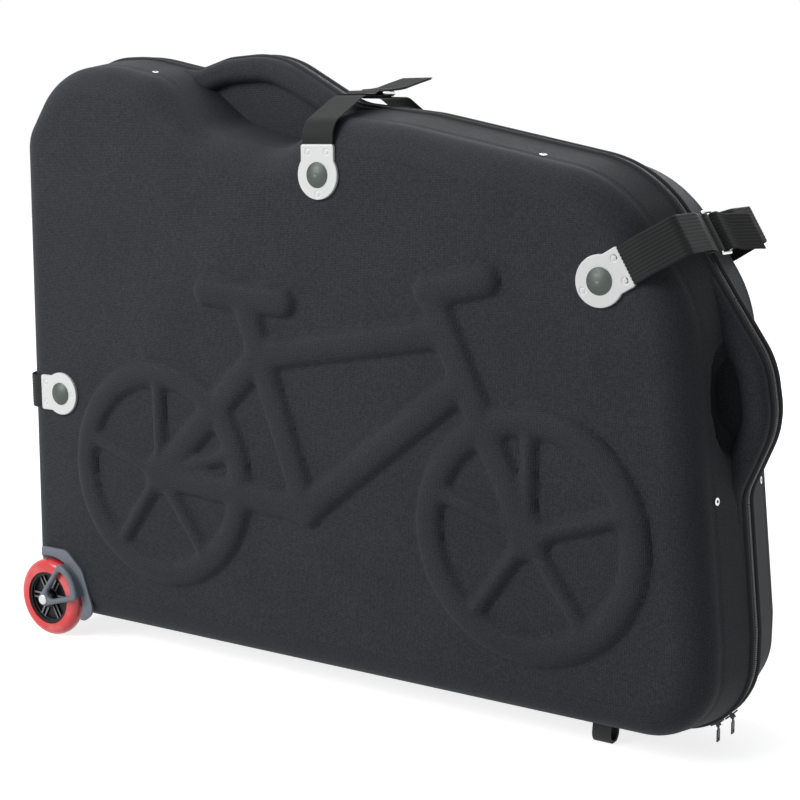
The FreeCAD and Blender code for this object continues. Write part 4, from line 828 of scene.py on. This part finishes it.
class CASE_OT_gusset(bpy.types.Operator):
    """Build the woven hinge gusset along the bottom"""

    bl_idname = "case.gusset"
    bl_label = "Hinge gusset"

    def execute(self, context):
        cloth = woven_tape("woven nylon gusset", "#202226", 0.0022, 0.65)
        made = piece("gusset_cloth", self.cloth_mesh(), cloth, "gusset", "gusset", "hinge_gusset")
        return {"FINISHED"}

    def cloth_mesh(self):
        """Cloth in the place of the CAD gusset: its middle lifts as 1 - s^2, s from -1 to 1 across.

        Slow waves along it die out at its edges as 1 - s^4, and a Gaussian ridge near each edge is the hem.
        """
        low, high = (np.array(corner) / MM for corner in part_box("hinge_gusset"))
        x, side = np.meshgrid(np.linspace(low[0], high[0], 190), np.linspace(-1, 1, 25))
        lift = CLOTH_LIFT + CLOTH_BOW * (1 - side ** 2) + CLOTH_WAVE * np.sin(x / CLOTH_RUN) * (1 - side ** 4)
        hem = HEM_RISE * np.exp(-((np.abs(side) - HEM_PLACE) / HEM_WIDTH) ** 2)
        under = np.stack([x, side * high[1], low[2] + lift + hem], 2)
        over = under + [0, 0, CLOTH_THICK]
        return swept("gusset_cloth", np.concatenate([under, over[::-1]]))


def to_case(name, local, back):
    """Carry strap points (outward, depth, across) in mm into the case's frame."""
    _, x, z, degrees, _ = next(strap for strap in STRAPS if strap[0] == name)
    cos, sin = math.cos(math.radians(degrees)), math.sin(math.radians(degrees))
    out, depth, across = local[..., 0], local[..., 1], local[..., 2]
    if back:
        across = -across
    y = depth if back else -depth
    return np.stack([x + out * cos - across * sin, y, z + out * sin + across * cos], -1)


def ribbon(route, first, section, veer=0.0):
    """Strap from a mark to the route's end: a closed section of (across, lift) standing off the route's line.

    A veer moves the free end past the roller sideways, by the square of how far along that end a point lies.
    """
    marks = even_marks(route, first, len(route) - 1.0, STRAP_STEP, closed=False)
    line, inward = trace(route, 0.0, marks, closed=False)
    lift = section[:, 1][:, None, None]
    spots = line[None] - inward[None] * lift
    past = np.clip((marks - len(route) + 1) / TAIL_MARKS + 1, 0, 1)
    across = section[:, 0][:, None] + veer * past[None] ** 2
    return np.stack([spots[..., 0], spots[..., 1], across], 2)


def webbing_section():
    """Section of ribbed webbing: rounded ribs across both faces, with rolled edges."""
    half = sizes().strap_width / MM / 2
    across = np.linspace(-half, half, 12 * sizes().rib_count + 1)
    rib = np.abs(np.sin(math.pi * sizes().rib_count * (across + half) / (2 * half)))
    edge = np.sqrt(np.clip(1 - (np.abs(across) / half) ** 24, 0, 1))
    lift = (WEBBING_CORE + WEBBING_RIB * rib) * edge
    return np.concatenate([np.stack([across, lift], 1), np.stack([across[::-1], -lift[::-1]], 1)[1:-1]])


def pad_section():
    """Section of the pad on a strap's tail: a superellipse that lies on the webbing."""
    half = sizes().strap_width / MM / 2 - PAD_MARGIN
    turn = np.linspace(0, 2 * math.pi, 25)[:-1]
    across, up = np.cos(turn), np.sin(turn)
    return np.stack([np.sign(across) * half * np.abs(across) ** 0.2,
                     PAD_LIFT + PAD_HALF * np.sign(up) * np.abs(up) ** 0.5], 1)


class CASE_OT_straps(bpy.types.Operator):
    """Build the ribbed webbing of the three straps and the smooth tails on its free ends"""

    bl_idname = "case.straps"
    bl_label = "Strap webbing"

    def execute(self, context):
        webbing = woven_tape("ribbed polyester webbing", colours().webbing, 0.0018, 0.62)
        loop_pile = woven_tape("hook and loop tail", colours().tail, 0.0012, 0.8)
        section = webbing_section()
        pad = pad_section()
        for name, *_, veer in STRAPS:
            routes = (LOOSE_FRONT, LOOSE_BACK) if name == "right" else (FRONT_ROUTE, BACK_ROUTE)
            for half, route, bend in zip(HALVES, routes, (0.0, veer)):
                strap = f"{name}_{half}_strap"
                # The route's first corner has no arc, so the strap starts at its run, at mark 0.5.
                mesh = swept(strap, to_case(name, ribbon(route, 0.5, section, bend), half == "back"))
                sharpen(mesh, 70)
                piece(strap, mesh, webbing, strap, "webbing", f"{name}_{half}_webbing")
            tail = ribbon(BACK_ROUTE, len(BACK_ROUTE) - 1 - PAD_MARKS, pad, veer)
            mesh = swept(f"{name}_strap_tail", to_case(name, tail, True))
            piece(f"{name}_strap_tail", mesh, loop_pile, f"{name}_back_strap", "webbing")
        return {"FINISHED"}


class CASE_OT_plates(bpy.types.Operator):
    """Build the pressed strap plates"""

    bl_idname = "case.plates"
    bl_label = "Strap plates"

    def execute(self, context):
        lacquer = worn_metal("white lacquered steel", colours().plate, 0.0, 0.4, 0.006)
        for name, *_ in STRAPS:
            for half in HALVES:
                mesh = self.plate(name, half == "back")
                piece(f"{name}_{half}_pressed_plate", mesh, lacquer, f"{name}_{half}_strap", "plate_metal",
                      f"{name}_{half}_plate")
        return {"FINISHED"}

    def plate(self, name, back):
        """Pressed plate: rows from one side of its outline to the other, a round end and a straight one.

        The half width is the larger of the circle's and the tongue's. The top falls off to its edge as a
        quarter of an ellipse, and Gaussian ridges give its three pressed rings and the bead beside the
        straight end.
        """
        round_end = -PLATE_ROUND * np.cos(np.linspace(0, math.pi / 2, 60))
        out = np.concatenate([round_end, np.linspace(0.7, PLATE_END, 80)])
        circle = np.sqrt(np.clip(PLATE_ROUND ** 2 - out ** 2, 0, None))
        into_corner = np.clip(out - PLATE_END + PLATE_CORNER, 0, PLATE_CORNER)
        tongue = PLATE_TONGUE - PLATE_CORNER + np.sqrt(np.clip(PLATE_CORNER ** 2 - into_corner ** 2, 0, None))
        on_tongue = out > math.sqrt(PLATE_ROUND ** 2 - PLATE_TONGUE ** 2)
        width = np.where(on_tongue, np.maximum(tongue, circle), circle)
        share = np.sin(np.linspace(-math.pi / 2, math.pi / 2, 101))
        u, v = np.broadcast_arrays(out[:, None], width[:, None] * share[None])
        from_edge = np.clip(np.minimum(width[:, None] - np.abs(v), PLATE_END - u) / ROLL_WIDTH, 0, 1)
        top = PLATE_TOP - ROLL_HEIGHT * (1 - np.sqrt(np.clip(1 - (1 - from_edge) ** 2, 0, 1)))
        for spot_u, spot_v in RINGS:
            from_ring = np.hypot(u - spot_u, v - spot_v) - RING_RADIUS
            top = top - RING_DEPTH * np.exp(-(from_ring / RING_WIDTH) ** 2)
        bead, bead_width, bead_height = PLATE_BEAD
        top = top + bead_height * np.exp(-((u - bead) / bead_width) ** 2)
        faces = [np.stack([u, level, v], 2) for level in (top, np.full_like(u, PLATE_UNDER))]
        surface = Surface()
        closed = np.concatenate([faces[0], faces[1][:, ::-1]], 1)
        closed = np.concatenate([closed, closed[:, :1]], 1)
        points = to_case(name, closed, back)
        surface.grid(points)
        surface.cap(points[0, :-1])
        surface.cap(points[-1, :-1][::-1])
        mesh = surface.mesh(f"{name}_plate")
        sharpen(mesh, 50)
        return mesh


class CASE_OT_hardware(bpy.types.Operator):
    """Finish the CAD's wheels, buckles, rivets, sliders and feet, and round off the wheel housings"""

    bl_idname = "case.hardware"
    bl_label = "Wheels and hardware"

    def execute(self, context):
        finishes = {
            "tyre": cast_polyurethane(),
            "hub": ribbed_hub(),
            "foot": moulded_plastic("moulded rubber", "#18181A", 0.7, 0.0015),
            "axle": worn_metal("zinc plated steel", "#C9CACC", 1.0, 0.3, 0.004),
            "strap_rivets": worn_metal("scratched gunmetal", "#545956", 0.9, 0.5, 0.0022, 0.9),
            "eyelets": worn_metal("bright nickel", "#ECECEC", 1.0, 0.22, 0.003),
        }
        for other in ("axle_nut", "housing_screws", "rivet_washers", "bearings", "bearing_spacer"):
            finishes[other] = finishes["axle"]
        for ending, finish in finishes.items():
            dress([f"{half}_{ending}" for half in HALVES], finish)
        self.housings()
        chrome = worn_metal("polished wire", "#E2E3E4", 1.0, 0.12, 0.006)
        roller = moulded_plastic("smooth black acetal", "#151517", 0.3, 0.002)
        dress([f"{strap[0]}_buckle_ring" for strap in STRAPS], chrome)
        dress([f"{strap[0]}_buckle_roller" for strap in STRAPS], roller)
        slider = worn_metal("black nickel", "#3A3A3C", 1.0, 0.3, 0.003)
        dress([f"{name}_zip_{kind}" for name in ("upper", "lower") for kind in ("slider", "pull")], slider)
        return {"FINISHED"}

    def housings(self):
        """Wheel housings of the CAD with a rounded fork arm in place of their plain one."""
        plastic = moulded_plastic("grained polypropylene", colours().housing, 0.5, 0.0012)
        beside = np.array([STRIP_RUN[1], -STRIP_RUN[0]])
        (start, end), (near, far) = STRIP_ALONG, STRIP_BESIDE
        strip = AXLE + np.array([along * STRIP_RUN + out * beside for along, out in (
            (start, near), (end, near), (end, far), (start, far))])
        for half in HALVES:
            sign = side_of(half)
            plain = rounded_copy(f"{half}_wheel_housing", f"{half}_plain_housing")
            disc_cutter = cylinder_cutter(*AXLE, DISC_RADIUS, sign * OUTSIDE, sign * DISC_DEPTH)
            strip_cutter = prism_cutter(strip, sign * OUTSIDE, sign * STRIP_DEPTH)
            mesh = joined(f"{half}_housing", cut_away(plain, [disc_cutter, strip_cutter]), fork_arm(sign))
            made = piece(f"{half}_housing", mesh, plastic, f"{half}_shell", "housing_plastic",
                         f"{half}_wheel_housing")
            soften(made, HOUSING_ROUND)


class CASE_OT_stage(bpy.types.Operator):
    """Set up the pale floor, soft studio lamps and the camera"""

    bl_idname = "case.stage"
    bl_label = "Studio"

    def execute(self, context):
        self.floor()
        for values in LAMPS:
            self.lamp(*values)
        world = bpy.data.worlds.new("studio")
        world.use_nodes = True
        tree = world.node_tree
        soft = add(tree, "ShaderNodeBackground", {"Color": linear("#F4F5F7"), "Strength": 0.1})
        white = add(tree, "ShaderNodeBackground", {"Color": linear("#FFFFFF"), "Strength": 1.0})
        mixed = add(tree, "ShaderNodeMixShader", {0: self.seen(tree), 1: soft.outputs[0],
                                                  2: white.outputs[0]})
        tree.links.new(mixed.outputs[0], tree.nodes["World Output"].inputs["Surface"])
        context.scene.world = world
        self.camera()
        context.scene.view_settings.view_transform = "Standard"
        return {"FINISHED"}

    def seen(self, tree):
        """Whether a ray comes from the camera, straight, mirrored or through glass."""
        light = add(tree, "ShaderNodeLightPath")
        seen = light.outputs["Is Camera Ray"]
        for kind in ("Is Glossy Ray", "Is Transmission Ray"):
            either = add(tree, "ShaderNodeMath", {0: seen, 1: light.outputs[kind]}, operation="MAXIMUM")
            seen = either.outputs[0]
        return seen

    def floor(self):
        """Flat floor that keeps the shadow near the case and pales with distance into the background."""
        mesh = bpy.data.meshes.new("studio_floor")
        corners = [(x * FLOOR_REACH, y * FLOOR_REACH, 0) for x, y in ((-1, -1), (1, -1), (1, 1), (-1, 1))]
        mesh.from_pydata(corners, [], [(0, 1, 2, 3)])
        paper, tree, shader = material("matt paper", Base_Color=linear(colours().floor), Roughness=0.9)
        where = add(tree, "ShaderNodeTexCoord")
        away = add(tree, "ShaderNodeVectorMath", {0: where.outputs["Object"]}, operation="LENGTH")
        near, far = FLOOR_PALES
        glow = add(tree, "ShaderNodeMapRange", {"Value": away.outputs["Value"], "From Min": near,
                                                "From Max": far, "To Min": 0.8, "To Max": 1.0})
        white = add(tree, "ShaderNodeEmission", {"Color": linear("#FFFFFF"), "Strength": glow.outputs[0]})
        both = add(tree, "ShaderNodeAddShader", {0: shader.outputs[0], 1: white.outputs[0]})
        mixed = add(tree, "ShaderNodeMixShader", {0: self.seen(tree), 1: shader.outputs[0],
                                                  2: both.outputs[0]})
        tree.links.new(mixed.outputs[0], tree.nodes["Material Output"].inputs["Surface"])
        mesh.materials.append(paper)
        placed("studio_floor", mesh)

    def lamp(self, name, place, target, size, power):
        """Square area lamp that faces a point."""
        data = bpy.data.lights.new(name, "AREA")
        data.size = size
        data.energy = power
        back = np.array(place) - np.array(target)
        back = back / np.linalg.norm(back)
        right = np.cross([0, 0, 1], back)
        right = right / np.linalg.norm(right)
        self.aim(placed(name, data), right, np.cross(back, right), back, place)

    def camera(self):
        """Camera of the photograph, turned to the right, looking a little down."""
        turn, tilt, roll = (math.radians(value) for value in (CAMERA_TURN, CAMERA_TILT, CAMERA_ROLL))
        back = np.array([math.sin(turn) * math.cos(tilt), -math.cos(turn) * math.cos(tilt), math.sin(tilt)])
        level = np.array([math.cos(turn), math.sin(turn), 0])
        upright = np.cross(back, level)
        right = math.cos(roll) * level + math.sin(roll) * upright
        up = -math.sin(roll) * level + math.cos(roll) * upright
        data = bpy.data.cameras.new("photo_view")
        data.lens = CAMERA_LENS
        data.sensor_width = 36
        data.clip_end = 60
        made = placed("photo_view", data)
        self.aim(made, right, up, back, CAMERA_PLACE)
        bpy.context.scene.camera = made

    def aim(self, made, right, up, back, place):
        """Put a lamp or camera in its place, with its own axes along three directions."""
        made.matrix_world = Matrix([*zip(right, up, back, place), (0, 0, 0, 1)])


class CASE_PT_panel(bpy.types.Panel):
    """Sidebar list of the case's sizes, colours and pieces"""

    bl_idname = "CASE_PT_panel"
    bl_label = "Bike Case"
    bl_space_type = "VIEW_3D"
    bl_region_type = "UI"
    bl_category = "Bike Case"

    def draw(self, context):
        for group in (context.scene.case_sizes, context.scene.case_colours):
            for name in group.bl_rna.properties.keys():
                if name not in ("rna_type", "name"):
                    self.layout.prop(group, name)
        for operator in OPERATORS:
            self.layout.operator(operator.bl_idname)


OPERATORS = (CASE_OT_shells, CASE_OT_zip, CASE_OT_gusset, CASE_OT_straps, CASE_OT_plates, CASE_OT_hardware,
             CASE_OT_stage)
CLASSES = (CaseSizes, CaseColours, CASE_PT_panel) + OPERATORS


def register():
    for kind in CLASSES:
        bpy.utils.register_class(kind)
    bpy.types.Scene.case_sizes = PointerProperty(type=CaseSizes)
    bpy.types.Scene.case_colours = PointerProperty(type=CaseColours)


def unregister():
    del bpy.types.Scene.case_colours
    del bpy.types.Scene.case_sizes
    for kind in reversed(CLASSES):
        bpy.utils.unregister_class(kind)


def main():
    register()
    bpy.ops.case.shells()
    bpy.ops.case.zip()
    bpy.ops.case.gusset()
    bpy.ops.case.straps()
    bpy.ops.case.plates()
    bpy.ops.case.hardware()
    bpy.ops.case.stage()


if __name__ == "__main__":
    main()
